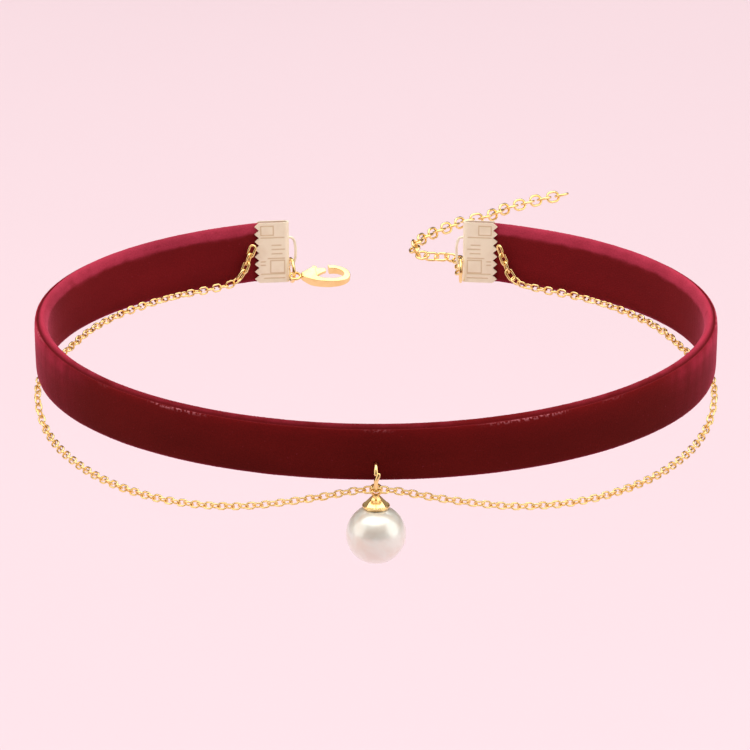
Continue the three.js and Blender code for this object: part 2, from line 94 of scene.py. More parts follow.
# Route of the extender chain from its ring's wire, in link lengths
EXTENDER_ROUTE = (
    (-0.19, 3.0, -0.17),
    (-0.74, 3.38, -0.22),
    (-1.36, 3.6, -0.26),
    (-2.23, 3.71, -0.26),
    (-2.76, 4.59, -0.26),
    (-2.78, 5.9, -0.26),
    (-2.22, 7.12, -0.26),
    (-1.4, 8.35, -0.26),
    (-0.51, 9.3, -0.26),
    (0.44, 10.39, -0.26),
    (1.32, 10.81, -0.26),
    (2.02, 11.38, -0.26),
    (2.66, 12.34, -0.26),
    (3.3, 13.03, -0.26),
    (4.13, 13.65, -0.26),
    (5.03, 14.38, -0.26),
    (6.31, 15.15, -0.26),
    (7.46, 15.93, -0.26),
)


def linear(code):
    """A hex sRGB colour as linear red, green and blue."""
    parts = [int(code[i:i + 2], 16) / 255 for i in (1, 3, 5)]
    return [p / 12.92 if p <= 0.04045 else ((p + 0.055) / 1.055) ** 2.4 for p in parts]


def size(name, description, millimetres):
    """A length that a user may change, in millimetres here and in metres in the scene."""
    return FloatProperty(name=name, description=description, default=millimetres * MM,
                         min=0.0, unit="LENGTH", subtype="DISTANCE", precision=5)


def angle(name, description, degrees):
    """An angle that a user may change."""
    return FloatProperty(name=name, description=description, default=math.radians(degrees),
                         unit="ROTATION", subtype="ANGLE")


def count(name, description, number):
    """A whole number that a user may change."""
    return IntProperty(name=name, description=description, default=number, min=1)


def colour(name, description, code):
    """A colour that a user may change."""
    return FloatVectorProperty(name=name, description=description, default=linear(code),
                               size=3, min=0.0, max=1.0, subtype="COLOR")


class ChokerRibbon(bpy.types.PropertyGroup):
    """Sizes and colours of the velvet ribbon and the loop that it makes round a neck."""

    half_width: size("Loop half width", "Half the loop's width from side to side", 54.1)
    half_depth: size("Loop half depth", "Half the loop's depth from front to back", 48.7)
    egg_shift: size("Egg shift", "How far the sides sit behind the middle of the loop", 0.84)
    back_gap: size("Back gap", "Distance between the ends of the loop", 29.4)
    width: size("Ribbon width", "Height of the ribbon on the neck", 10.0)
    thickness: size("Ribbon thickness", "Thickness of the two plies with their pile", 2.2)
    grip_thickness: size("Gripped thickness", "Thickness inside the crimps", 1.0)
    squeeze_length: size("Squeeze length", "How far the crimp's squeeze shows", 2.6)
    groove_depth: size("Groove depth", "Depth of the groove between roll and outer edge", 0.5)
    groove_width: size("Groove width", "Half width of that groove", 0.3)
    groove_place: size("Groove place", "How far the groove lies from the middle", 0.5)
    # Painted highlight: how far the roll's painted highlight reaches down the inner face
    roll_band: size("Roll band", "How far the brushed roll reaches down the inner face", 1.9)
    lean_front: angle("Front lean", "How far the top leans out at the front", 11.4)
    lean_side: angle("Side lean", "How far the top leans out at the sides", 1.5)
    lean_back: angle("Back lean", "How far the top leans out at the back", 6.0)
    pile_colour: colour("Pile", "Colour of the pile on the outer face", "#590f0c")
    # Painted light: the inner face is painted lighter than the outer face, for the light that falls
    # on it
    inner_colour: colour("Inner pile", "Colour of the pile on the inner face", "#6d1417")
    # Painted highlight: the roll is painted lighter and pinker, as light from above falls on it
    roll_colour: colour("Roll", "Colour where the pile spreads over the roll", "#ad354a")
    # Painted shade: the groove is painted darker
    groove_colour: colour("Groove", "Colour in the groove", "#5c0b0f")
    # Painted highlight: the lower edge is painted lighter and pinker
    hem_colour: colour("Hem", "Colour where the pile spreads over the lower edge", "#8a1c38")
    sheen_colour: colour("Sheen", "Colour of the light on the sides of the pile", "#e0607c")
    # Painted highlight: glints along the outer top edge
    thread_colour: colour("Selvage thread", "Colour of the bright thread on the edge", "#e08a92")
    # Painted light: the outer face is painted lighter towards its top edge
    brow_colour: colour("Brow", "Colour of the outer face under its top edge", "#741214")
    # Painted sheen: the outer face at the two bends is painted lighter and pinker
    spread_colour: colour("Spread", "Colour where the bends open the pile", "#b42e45")


class ChokerMetal(bpy.types.PropertyGroup):
    """Sizes and colours of the crimps, rings, clasp and chains."""

    crimp_length: size("Crimp length", "From the fold to the tips of the teeth", 5.8)
    crimp_height: size("Crimp height", "Along the ribbon's width", 10.2)
    crimp_wall: size("Crimp wall", "Thickness of the crimp's sheet", 0.3)
    crimp_turn_in: angle("Crimp turn in", "How far a crimp turns in from the loop", 10.0)
    tooth_depth: size("Tooth depth", "Depth of the notches between the teeth", 0.75)
    crimp_teeth: count("Teeth", "Teeth on each face of a crimp", 8)
    ring_radius: size("Jump ring radius", "Radius of the wire's middle line", 1.9)
    ring_wire: size("Jump ring wire", "Radius of the wire", 0.28)
    loop_reach: size("Crimp loop reach", "From the fold to the middle of the loop's wire", 1.1)
    loop_half_height: size("Crimp loop half height", "Half the height of the loop", 2.35)
    loop_wire: size("Crimp loop wire", "Radius of the wire", 0.22)
    drop_ring_radius: size("Drop ring radius", "Radius of the wire's middle line", 2.5)
    drop_ring_wire: size("Drop ring wire", "Radius of the wire", 0.35)
    link_length: size("Fine link length", "Outside length of a link", 1.92)
    link_width: size("Fine link width", "Outside width of a link", 1.45)
    link_wire: size("Fine link wire", "Radius of the wire", 0.16)
    end_link_length: size("End link length", "Outside length of the links at a crimp", 2.4)
    end_link_width: size("End link width", "Outside width of the links at a crimp", 1.5)
    end_link_wire: size("End link wire", "Radius of the wire of the links at a crimp", 0.23)
    end_links: count("End links", "Links at each crimp", 4)
    extender_link_length: size("Extender link length", "Outside length of a link", 2.7)
    extender_link_width: size("Extender link width", "Outside width of a link", 2.1)
    extender_link_wire: size("Extender link wire", "Radius of the wire", 0.21)
    extender_links: count("Extender links", "Links in the extender chain", 33)
    link_gap: size("Link gap", "Play between two links of the extender", 0.1)
    fine_link_gap: size("Fine link gap", "Play between two links of the fine chain", 0.04)
    gold_colour: colour("Gold", "Colour of the plated wire and castings", "#fbdf9c")
    gold_deep_colour: colour("Deep gold", "Colour of the plating where it is thick", "#eebf6a")
    crimp_colour: colour("Pale gold", "Colour of the lacquered crimps", "#fff5d8")
    crimp_dull_colour: colour("Dull pale gold", "Colour in the crimps' stamped lines", "#d8bc8e")


class ChokerDrop(bpy.types.PropertyGroup):
    """Sizes and colours of the pearl and its cap."""

    pearl_diameter: size("Pearl diameter", "Across the pearl", 9.5)
    cap_height: size("Cap height", "From the rim to the top of the cone", 2.0)
    cap_top_radius: size("Cap top radius", "Radius at the top of the cone", 0.45)
    cap_rim_radius: size("Cap rim radius", "Radius of the rim on the pearl", 2.2)
    rim_height: size("Rim height", "Height of the turned rim", 0.45)
    peg_radius: size("Peg radius", "Radius of the peg under the cap", 0.4)
    peg_depth: size("Peg depth", "How far the peg reaches into the pearl", 2.2)
    drill_radius: size("Drill radius", "Radius of the pearl's hole", 0.7)
    drill_depth: size("Drill depth", "Depth of the pearl's hole", 2.65)
    eye_wire: size("Eye wire", "Radius of the wire of the cap's eye", 0.22)
    eye_gap: size("Eye gap", "Room between the eye and the drop ring", 0.3)
    pearl_colour: colour("Nacre", "Colour of the pearl's coat", "#f0f4e8")
    pearl_deep_colour: colour("Deep nacre", "Warmer colour under the coat", "#ebe3d2")


class ChokerStage(bpy.types.PropertyGroup):
    """Camera, floor and lights."""

    elevation: angle("Camera elevation", "How far the camera looks down", 20.0)
    distance: size("Camera distance", "From the origin to the camera", 1500.0)
    floor_drop: size("Floor drop", "How far the floor lies below the origin", 150.0)
    floor_reach: size("Floor reach", "From the middle of the floor to its edges", 6000.0)
    floor_colour: colour("Floor", "Colour of the plain floor", "#dfc9cf")


def set_inputs(node, inputs):
    """Gives each input a value, or links it to an output or to a node's first output."""
    for key, value in inputs.items():
        if isinstance(value, bpy.types.Node):
            value = value.outputs[0]
        if isinstance(value, bpy.types.NodeSocket):
            node.id_data.links.new(value, node.inputs[key])
        else:
            node.inputs[key].default_value = value


def add_node(tree, kind, inputs=None, **settings):
    """Adds a node with its settings, and sets or links its inputs."""
    made = tree.nodes.new(kind)
    for key, value in settings.items():
        setattr(made, key, value)
    set_inputs(made, inputs or {})
    return made


def new_surface(name, values):
    """A material of one Principled shader with these values on its own sockets."""
    material = bpy.data.materials.new(name)
    material.use_nodes = True
    shader = material.node_tree.nodes["Principled BSDF"]
    set_inputs(shader, values)
    return material, material.node_tree, shader


def with_alpha(values):
    """A colour with the fourth number that a colour socket takes."""
    return (*values, 1.0)


def add_piece(name, mesh, material, body, slot, *nodes):
    """Puts a finished mesh in the scene, on its body, in place of the solids that it stands for."""
    piece = bpy.data.objects.new(name, mesh)
    bpy.context.scene.collection.objects.link(piece)
    mesh.materials.clear()
    mesh.materials.append(material)
    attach(piece, body)
    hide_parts(*nodes)
    return piece


def middle_of(node):
    """The middle of a solid's box."""
    low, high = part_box(node)
    return (low + high) / 2


def mesh_from(name, points, faces, smooth=True):
    """A mesh from its points and faces, with its normals made to point outwards."""
    mesh = bpy.data.meshes.new(name)
    mesh.from_pydata([tuple(p) for p in points], [], faces)
    shaped = bmesh.new()
    shaped.from_mesh(mesh)
    bmesh.ops.recalc_face_normals(shaped, faces=shaped.faces)
    shaped.to_mesh(mesh)
    shaped.free()
    for face in mesh.polygons:
        face.use_smooth = smooth
    return mesh


def crease(mesh, degrees):
    """Keeps the edges sharp where two faces meet at more than this angle."""
    shaped = bmesh.new()
    shaped.from_mesh(mesh)
    limit = math.radians(degrees)
    for edge in shaped.edges:
        edge.smooth = edge.calc_face_angle(0.0) < limit
    for face in shaped.faces:
        face.smooth = True
    shaped.to_mesh(mesh)
    shaped.free()


def joined(name, meshes):
    """One mesh of several."""
    shaped = bmesh.new()
    for mesh in meshes:
        shaped.from_mesh(mesh)
        bpy.data.meshes.remove(mesh)
    whole = bpy.data.meshes.new(name)
    shaped.to_mesh(whole)
    shaped.free()
    return whole


def settled(piece, name):
    """The piece's mesh with its modifiers applied, and the piece itself removed."""
    graph = bpy.context.evaluated_depsgraph_get()
    mesh = bpy.data.meshes.new_from_object(piece.evaluated_get(graph))
    mesh.name = name
    bpy.data.objects.remove(piece)
    return mesh


def loft(rings, closed=False, capped=True):
    """Points and faces of a skin over rings of points, with flat ends where it is capped."""
    sides = len(rings[0])
    points = [point for ring in rings for point in ring]
    faces = []
    spans = len(rings) if closed else len(rings) - 1
    for i in range(spans):
        for j in range(sides):
            a = i * sides + j
            b = i * sides + (j + 1) % sides
            c = (i + 1) % len(rings) * sides
            faces.append((a, b, c + (j + 1) % sides, c + j))
    if capped and not closed:
        faces.append(tuple(range(sides)))
        faces.append(tuple(range((len(rings) - 1) * sides, len(rings) * sides)))
    return points, faces


def wire_mesh(name, path, across, radius, sides=14, closed=False):
    """A round wire along a path that lies square to the vector across. Open ends are rounded."""
    stations = [(point, i, 1.0) for i, point in enumerate(path)]
    if not closed:
        tips = []
        for i, towards in ((0, 1), (len(path) - 1, -1)):
            back = (path[i] - path[i + towards]).normalized()
            tip = []
            for share in (0.3, 0.6, 0.85, 0.98):
                tip.append((path[i] + back * radius * share, i, math.sqrt(1 - share * share)))
            tips.append(tip)
        stations = [*reversed(tips[0]), *stations, *tips[1]]
    rings = []
    for point, i, share in stations:
        before = path[i - 1] if closed or i else path[i]
        after = path[(i + 1) % len(path)] if closed or i + 1 < len(path) else path[i]
        out = (after - before).cross(across).normalized()
        ring = []
        for j in range(sides):
            turn = math.tau * j / sides
            ring.append(point + radius * share * (math.cos(turn) * out + math.sin(turn) * across))
        rings.append(ring)
    return mesh_from(name, *loft(rings, closed))


def hoop(centre, radius, level, steps):
    """Points round an upright circle, whose level direction is given."""
    turns = [math.tau * i / steps for i in range(steps)]
    return [centre + radius * (level * math.cos(turn) + UP * math.sin(turn)) for turn in turns]


def turned_mesh(name, profile, segments, flats=0, first_flat=0, ridge=0.0):
    """A turned part round the Z axis, from its profile of radius and height, pole to pole.

    From the row first_flat on, it has so many flat sides, with a ridge on each corner.
    """
    points = [Vector((0.0, 0.0, profile[0][1]))]
    for row, (radius, height) in enumerate(profile[1:-1], 1):
        for j in range(segments):
            turn = math.tau * j / segments
            reach = radius
            if flats and row >= first_flat:
                half = math.pi / flats
                off = turn % (2 * half) - half
                reach *= math.cos(half) / math.cos(off)
                reach += ridge * bell((half - abs(off)) * radius, 1.5 * ridge)
            points.append(Vector((reach * math.cos(turn), reach * math.sin(turn), height)))
    points.append(Vector((0.0, 0.0, profile[-1][1])))
    faces = []
    rows = len(profile) - 2
    for j in range(segments):
        k = (j + 1) % segments
        faces.append((0, 1 + j, 1 + k))
        for i in range(rows - 1):
            a = 1 + i * segments
            faces.append((a + j, a + segments + j, a + segments + k, a + k))
        last = 1 + (rows - 1) * segments
        faces.append((last + j, len(points) - 1, last + k))
    return mesh_from(name, points, faces)


def smooth_path(stations):
    """Points on a centripetal Catmull-Rom curve through the stations."""
    steps = 24
    line = [2 * stations[0] - stations[1], *stations, 2 * stations[-1] - stations[-2]]
    path = []
    for p0, p1, p2, p3 in zip(line, line[1:], line[2:], line[3:]):
        d0, d1, d2 = (math.sqrt((b - a).length) for a, b in ((p0, p1), (p1, p2), (p2, p3)))
        start = ((p1 - p0) / d0 - (p2 - p0) / (d0 + d1) + (p2 - p1) / d1) * d1
        end = ((p2 - p1) / d1 - (p3 - p1) / (d1 + d2) + (p3 - p2) / d2) * d1
        for i in range(steps):
            t = i / steps
            bend = -3 * p1 + 3 * p2 - 2 * start - end
            twist = 2 * p1 - 2 * p2 + start + end
            path.append(p1 + t * start + t * t * bend + t ** 3 * twist)
    path.append(stations[-1].copy())
    return path


def part_of_path(path, start, end):
    """The part of a path between two distances along it."""
    kept = []
    done = 0.0
    for a, b in zip(path, path[1:]):
        step = (b - a).length
        for distance in (start, end):
            if done <= distance < done + step:
                kept.append((distance, a.lerp(b, (distance - done) / step)))
        if start < done + step < end:
            kept.append((done + step, b.copy()))
        done += step
    if end >= done:
        kept.append((done, path[-1].copy()))
    return [point for _, point in sorted(kept, key=lambda pair: pair[0])]


def ramp(value, width):
    """From 0 to 1 over a width, with a soft start and end."""
    share = min(1.0, max(0.0, value / width + 0.5))
    return share * share * (3 - 2 * share)


def bell(value, width):
    """1 at zero, and falling softly to nothing about two widths away."""
    return math.exp(-(value / width) ** 2)


def signed_power(value, power):
    """A power that keeps the sign."""
    return math.copysign(abs(value) ** power, value)


def loop_point(turn):
    """Where the ribbon's middle is, at an angle round the loop."""
    ribbon = bpy.context.scene.choker_ribbon
    x = ribbon.half_width * math.cos(turn)
    y = ribbon.half_depth * math.sin(turn) + ribbon.egg_shift * math.cos(2 * turn)
    return Vector((x, y, 0.0))


def loop_slope(turn):
    """How fast the loop's X and Y change with the angle round it."""
    ribbon = bpy.context.scene.choker_ribbon
    return (-ribbon.half_width * math.sin(turn),
            ribbon.half_depth * math.cos(turn) - 2 * ribbon.egg_shift * math.sin(2 * turn))


def loop_outward(turn):
    """The level direction out from the neck."""
    x, y = loop_slope(turn)
    return Vector((y, -x, 0.0)).normalized()


def ribbon_directions(turn):
    """The directions square to the ribbon's face and up it, with its lean at that angle."""
    ribbon = bpy.context.scene.choker_ribbon
    at_end = ribbon.lean_front if math.sin(turn) < 0 else ribbon.lean_back
    lean = ribbon.lean_side + (at_end - ribbon.lean_side) * math.sin(turn) ** 2
    outward = loop_outward(turn)
    face = outward * math.cos(lean) - UP * math.sin(lean)
    return face, outward * math.sin(lean) + UP * math.cos(lean)


def fold_turn():
    """Angle of the left crimp's fold round the loop."""
    ribbon = bpy.context.scene.choker_ribbon
    return math.acos(-ribbon.back_gap / 2 / ribbon.half_width)


def turn_per_metre():
    """Angle round the loop for each metre along it, at the crimps."""
    return 1 / math.hypot(*loop_slope(fold_turn()))


def mouth_turn():
    """Angle of the left crimp's teeth round the loop."""
    return fold_turn() + bpy.context.scene.choker_metal.crimp_length * turn_per_metre()


def crimp_frame(side):
    """A crimp's own frame: X from the ribbon to the fold, Y across the sheet, Z up the ribbon."""
    metal = bpy.context.scene.choker_metal
    fold = fold_turn() if side < 0 else 3 * math.pi - fold_turn()
    mouth = mouth_turn() if side < 0 else 3 * math.pi - mouth_turn()
    along = (loop_point(fold) - loop_point(mouth)).normalized()
    along.rotate(Matrix.Rotation(side * metal.crimp_turn_in, 3, "Z"))
    out = ribbon_directions(fold)[1].cross(along).normalized()
    up = along.cross(out)
    place = Matrix((along, out, up)).transposed().to_4x4()
    place.translation = loop_point(mouth) + along * metal.crimp_length
    return place


def ribbon_place(turn):
    """Middle, face, up and distance from the teeth: in a crimp the ribbon follows the crimp."""
    away = (min(turn, 3 * math.pi - turn) - mouth_turn()) / turn_per_metre()
    if away >= 0:
        return loop_point(turn), *ribbon_directions(turn), away
    side = -1 if turn < 1.5 * math.pi else 1
    place = crimp_frame(side)
    length = bpy.context.scene.choker_metal.crimp_length
    middle = place @ Vector((-length - away, 0.0, 0.0))
    turned = place.to_3x3()
    return middle, -side * turned.col[1], turned.col[2].copy(), away


# Velvet: woven polyester with a cut pile, with the shader's own sheen. On top of that the colour
# has painted light: painted highlight on the roll, hem and top of the outer face, painted sheen at
# the bends, a lighter inner face, painted shade in the groove, painted glints.
def velvet_material():
    """Velvet, with its nap and its pile's grain, and painted highlights, sheen, shade and glints.
    """
    ribbon = bpy.context.scene.choker_ribbon
    material, tree, shader = new_surface("cut_pile_velvet", {
        "Roughness": 0.95,
        "Specular IOR Level": 0.08,
        "Sheen Weight": 0.8,
        "Sheen Roughness": 0.22,
        "Sheen Tint": with_alpha(ribbon.sheen_colour),
    })
    zone = {name: add_node(tree, "ShaderNodeAttribute", attribute_name=name).outputs["Fac"]
            for name in RIBBON_MARKS}
    # Noises for the pile's unevenness and for the painted highlights, sheen and glints: spots in a
    # centimetre, their detail, how much finer they are along and across the ribbon, the stretch of
    # the noise that is used, and the weights that it gives
    kinds = {
        # The painted highlights vary unevenly over some 3 mm, and the roll's painted highlight has
        # a ragged lower edge
        "uneven": (3.0, 3.0, (1.0, 1.0), (0.3, 0.7), (0.75, 1.0)),
        "ragged": (4.5, 4.0, (0.6, 1.0), (0.3, 0.7), (-0.3, 0.3)),
        # Round the two bends the painted sheen comes in streaks across the ribbon
        "streaks": (2.6, 2.0, (1.6, 0.5), (0.35, 0.65), (0.45, 1.0)),
        # The nap lies over in long patches of 8 mm, and the pile's tufts are 0.25 mm apart
        "nap": (1.3, 3.0, (0.4, 1.0), (0.3, 0.7), (0.88, 1.12)),
        "tufts": (38.0, 2.0, (1.0, 1.0), (0.3, 0.7), (0.86, 1.1)),
        # Dust, laid in the sheen colour, so these specks are partly dust and partly painted glints
        # here and there
        "dust": (26.0, 1.0, (1.0, 1.0), (0.72, 0.82), (0.0, 0.14)),
        # The painted highlight on the outer top edge comes and goes in glints
        "stitch": (20.0, 1.0, (1.0, 1.0), (0.46, 0.6), (0.0, 1.0)),
        "patch": (0.5, 1.0, (1.0, 0.1), (0.52, 0.62), (0.0, 1.0)),
    }
    place = add_node(tree, "ShaderNodeUVMap", uv_map="ribbon")
    noises, weight = {}, {}
    for name, (spots, detail, finer, used, given) in kinds.items():
        spread = add_node(tree, "ShaderNodeMapping", {"Vector": place, "Scale": (*finer, 1.0)})
        noises[name] = add_node(tree, "ShaderNodeTexNoise",
                                {"Vector": spread, "Scale": spots, "Detail": detail})
        weight[name] = add_node(tree, "ShaderNodeMapRange",
                                {"Value": noises[name], "From Min": used[0], "From Max": used[1],
                                 "To Min": given[0], "To Max": given[1]})
    # The lower edge of the roll's painted highlight, made ragged by noise
    border = add_node(tree, "ShaderNodeMath", {0: zone["roll"], 1: weight["ragged"]},
                      operation="ADD")
    brushed = add_node(tree, "ShaderNodeMapRange",
                       {"Value": border, "From Min": 0.25, "From Max": 0.85})

    def layered(tone, layers):
        """A colour with further colours laid over it, each as far as its weights multiply to."""
        for weights, tint in layers:
            share = weights[0]
            for other in weights[1:]:
                share = add_node(tree, "ShaderNodeMath", {0: share, 1: other},
                                 operation="MULTIPLY")
            tone = add_node(tree, "ShaderNodeMix", {0: share, 6: tone, 7: with_alpha(tint)},
                            data_type="RGBA").outputs[2]
        return tone

    pile = layered(with_alpha(ribbon.pile_colour), (
        # Painted light: the inner face lighter
        ([zone["inner"]], ribbon.inner_colour),
        # Painted highlight along the lower edge
        ([zone["hem"], weight["uneven"]], ribbon.hem_colour),
        # Painted light on the top of the outer face
        ([zone["brow"], weight["uneven"]], ribbon.brow_colour),
        # Painted highlight on the roll and the top of the inner face
        ([brushed, zone["roll"], weight["uneven"]], ribbon.roll_colour),
        # Painted sheen at the bends
        ([zone["spread"], weight["streaks"]], ribbon.spread_colour),
        # Painted shade in the groove
        ([zone["groove"]], ribbon.groove_colour),
    ))
    shade = add_node(tree, "ShaderNodeMath", {0: weight["nap"], 1: weight["tufts"]},
                     operation="MULTIPLY")
    shaded = add_node(tree, "ShaderNodeVectorMath", {0: pile, 3: shade}, operation="SCALE")
    final = layered(shaded, (
        # Dust specks in the sheen colour: partly dust, partly painted glints
        ([weight["dust"]], ribbon.sheen_colour),
        # Painted highlight glints along the outer top edge
        ([weight["stitch"], weight["patch"], zone["lip"]], ribbon.thread_colour),
    ))
    bump = add_node(tree, "ShaderNodeBump",
                    {"Height": noises["tufts"], "Strength": 0.5, "Distance": 0.1 * MM})
    set_inputs(shader, {"Base Color": final, "Normal": bump})
    return material


# Gold plating on drawn and cast brass: polished, so it mirrors the room with soft handling marks
def gold_material():
    """Polished gold plating on wire and castings."""
    metal = bpy.context.scene.choker_metal
    material, tree, shader = new_surface("polished_gold_plating", {"Metallic": 1.0})
    place = add_node(tree, "ShaderNodeTexCoord").outputs["Object"]
    # Plating is a little thicker in patches of 2 mm, and polishing leaves marks of 0.15 mm
    patches = add_node(tree, "ShaderNodeTexNoise",
                       {"Vector": place, "Scale": 500.0, "Detail": 2.0})
    tone = add_node(tree, "ShaderNodeMapRange",
                    {"Value": patches, "From Min": 0.4, "From Max": 0.75, "To Max": 0.6})
    final = add_node(tree, "ShaderNodeMix",
                     {0: tone, 6: with_alpha(metal.gold_colour),
                      7: with_alpha(metal.gold_deep_colour)}, data_type="RGBA")
    marks = add_node(tree, "ShaderNodeTexNoise",
                     {"Vector": place, "Scale": 6000.0, "Detail": 2.0})
    gloss = add_node(tree, "ShaderNodeMapRange", {"Value": marks, "To Min": 0.08, "To Max": 0.22})
    bump = add_node(tree, "ShaderNodeBump",
                    {"Height": marks, "Strength": 0.08, "Distance": 0.02 * MM})
    set_inputs(shader, {"Base Color": final.outputs[2], "Roughness": gloss, "Normal": bump})
    return material


def gold():
    """The gold plating, made once."""
    return bpy.data.materials.get("polished_gold_plating") or gold_material()


# Stamped brass sheet, plated pale gold and then lacquered matt cream. The lacquer hides most of
# the metal's mirror, so it reads more like paint. The colour is darker in the stamped lines.
def crimp_material():
    """Matt cream lacquer over pale gold on stamped sheet."""
    metal = bpy.context.scene.choker_metal
    material, tree, shader = new_surface("lacquered_pale_gold_sheet", {"Metallic": 0.2})
    place = add_node(tree, "ShaderNodeTexCoord").outputs["Object"]
    # Rolling leaves a faint grain along the sheet, about 0.1 mm from line to line
    stretch = add_node(tree, "ShaderNodeMapping", {"Vector": place, "Scale": (0.12, 0.12, 1.0)})
    grain = add_node(tree, "ShaderNodeTexNoise",
                     {"Vector": stretch, "Scale": 9000.0, "Detail": 2.0})
    wear = add_node(tree, "ShaderNodeTexNoise", {"Vector": place, "Scale": 420.0, "Detail": 3.0})
    # The colour is darker in the stamped lines, and a little uneven all over
    stamp = add_node(tree, "ShaderNodeAttribute", attribute_name="stamp").outputs["Fac"]
    tone = add_node(tree, "ShaderNodeMapRange",
                    {"Value": wear, "From Min": 0.45, "From Max": 0.8, "To Max": 0.25})
    dull = add_node(tree, "ShaderNodeMath", {0: tone, 1: stamp}, operation="MAXIMUM")
    final = add_node(tree, "ShaderNodeMix",
                     {0: dull, 6: with_alpha(metal.crimp_colour),
                      7: with_alpha(metal.crimp_dull_colour)}, data_type="RGBA")
    gloss = add_node(tree, "ShaderNodeMapRange", {"Value": grain, "To Min": 0.3, "To Max": 0.46})
    bump = add_node(tree, "ShaderNodeBump",
                    {"Height": grain, "Strength": 0.2, "Distance": 0.02 * MM})
    set_inputs(shader, {"Base Color": final.outputs[2], "Roughness": gloss, "Normal": bump})
    return material


# Glass pearl: a bead dipped many times in pearl essence, so light goes in a little way and comes
# back milky under a clear gloss
def pearl_material():
    """Nacre coat on a glass bead."""
    drop = bpy.context.scene.choker_drop
    material, tree, shader = new_surface("dipped_glass_pearl", {
        "Metallic": 0.35,
        "Roughness": 0.3,
        "Coat Weight": 0.9,
        "Coat Roughness": 0.12,
        "Coat IOR": 1.56,
    })
    place = add_node(tree, "ShaderNodeTexCoord").outputs["Object"]
    # The coat's layers drift over about 3 mm
    drift = add_node(tree, "ShaderNodeTexNoise",
                     {"Vector": place, "Scale": 300.0, "Detail": 3.0, "Distortion": 0.6})
    tone = add_node(tree, "ShaderNodeMapRange",
                    {"Value": drift, "From Min": 0.4, "From Max": 0.7})
    final = add_node(tree, "ShaderNodeMix",
                     {0: tone, 6: with_alpha(drop.pearl_colour),
                      7: with_alpha(drop.pearl_deep_colour)}, data_type="RGBA")
    set_inputs(shader, {"Base Color": final.outputs[2]})
    return material


# Painted board: matt, with a paint coat that varies too little to notice
def floor_material():
    """Matt painted board."""
    stage = bpy.context.scene.choker_stage
    material, tree, shader = new_surface("matt_board", {"Roughness": 0.9,
                                                       "Specular IOR Level": 0.1})
    place = add_node(tree, "ShaderNodeTexCoord").outputs["Object"]
    fibre = add_node(tree, "ShaderNodeTexNoise", {"Vector": place, "Scale": 6.0, "Detail": 2.0})
    tone = add_node(tree, "ShaderNodeMapRange", {"Value": fibre, "To Min": 0.98, "To Max": 1.02})
    final = add_node(tree, "ShaderNodeVectorMath", {0: tuple(stage.floor_colour), 3: tone},
                     operation="SCALE")
    set_inputs(shader, {"Base Color": final})
    return material


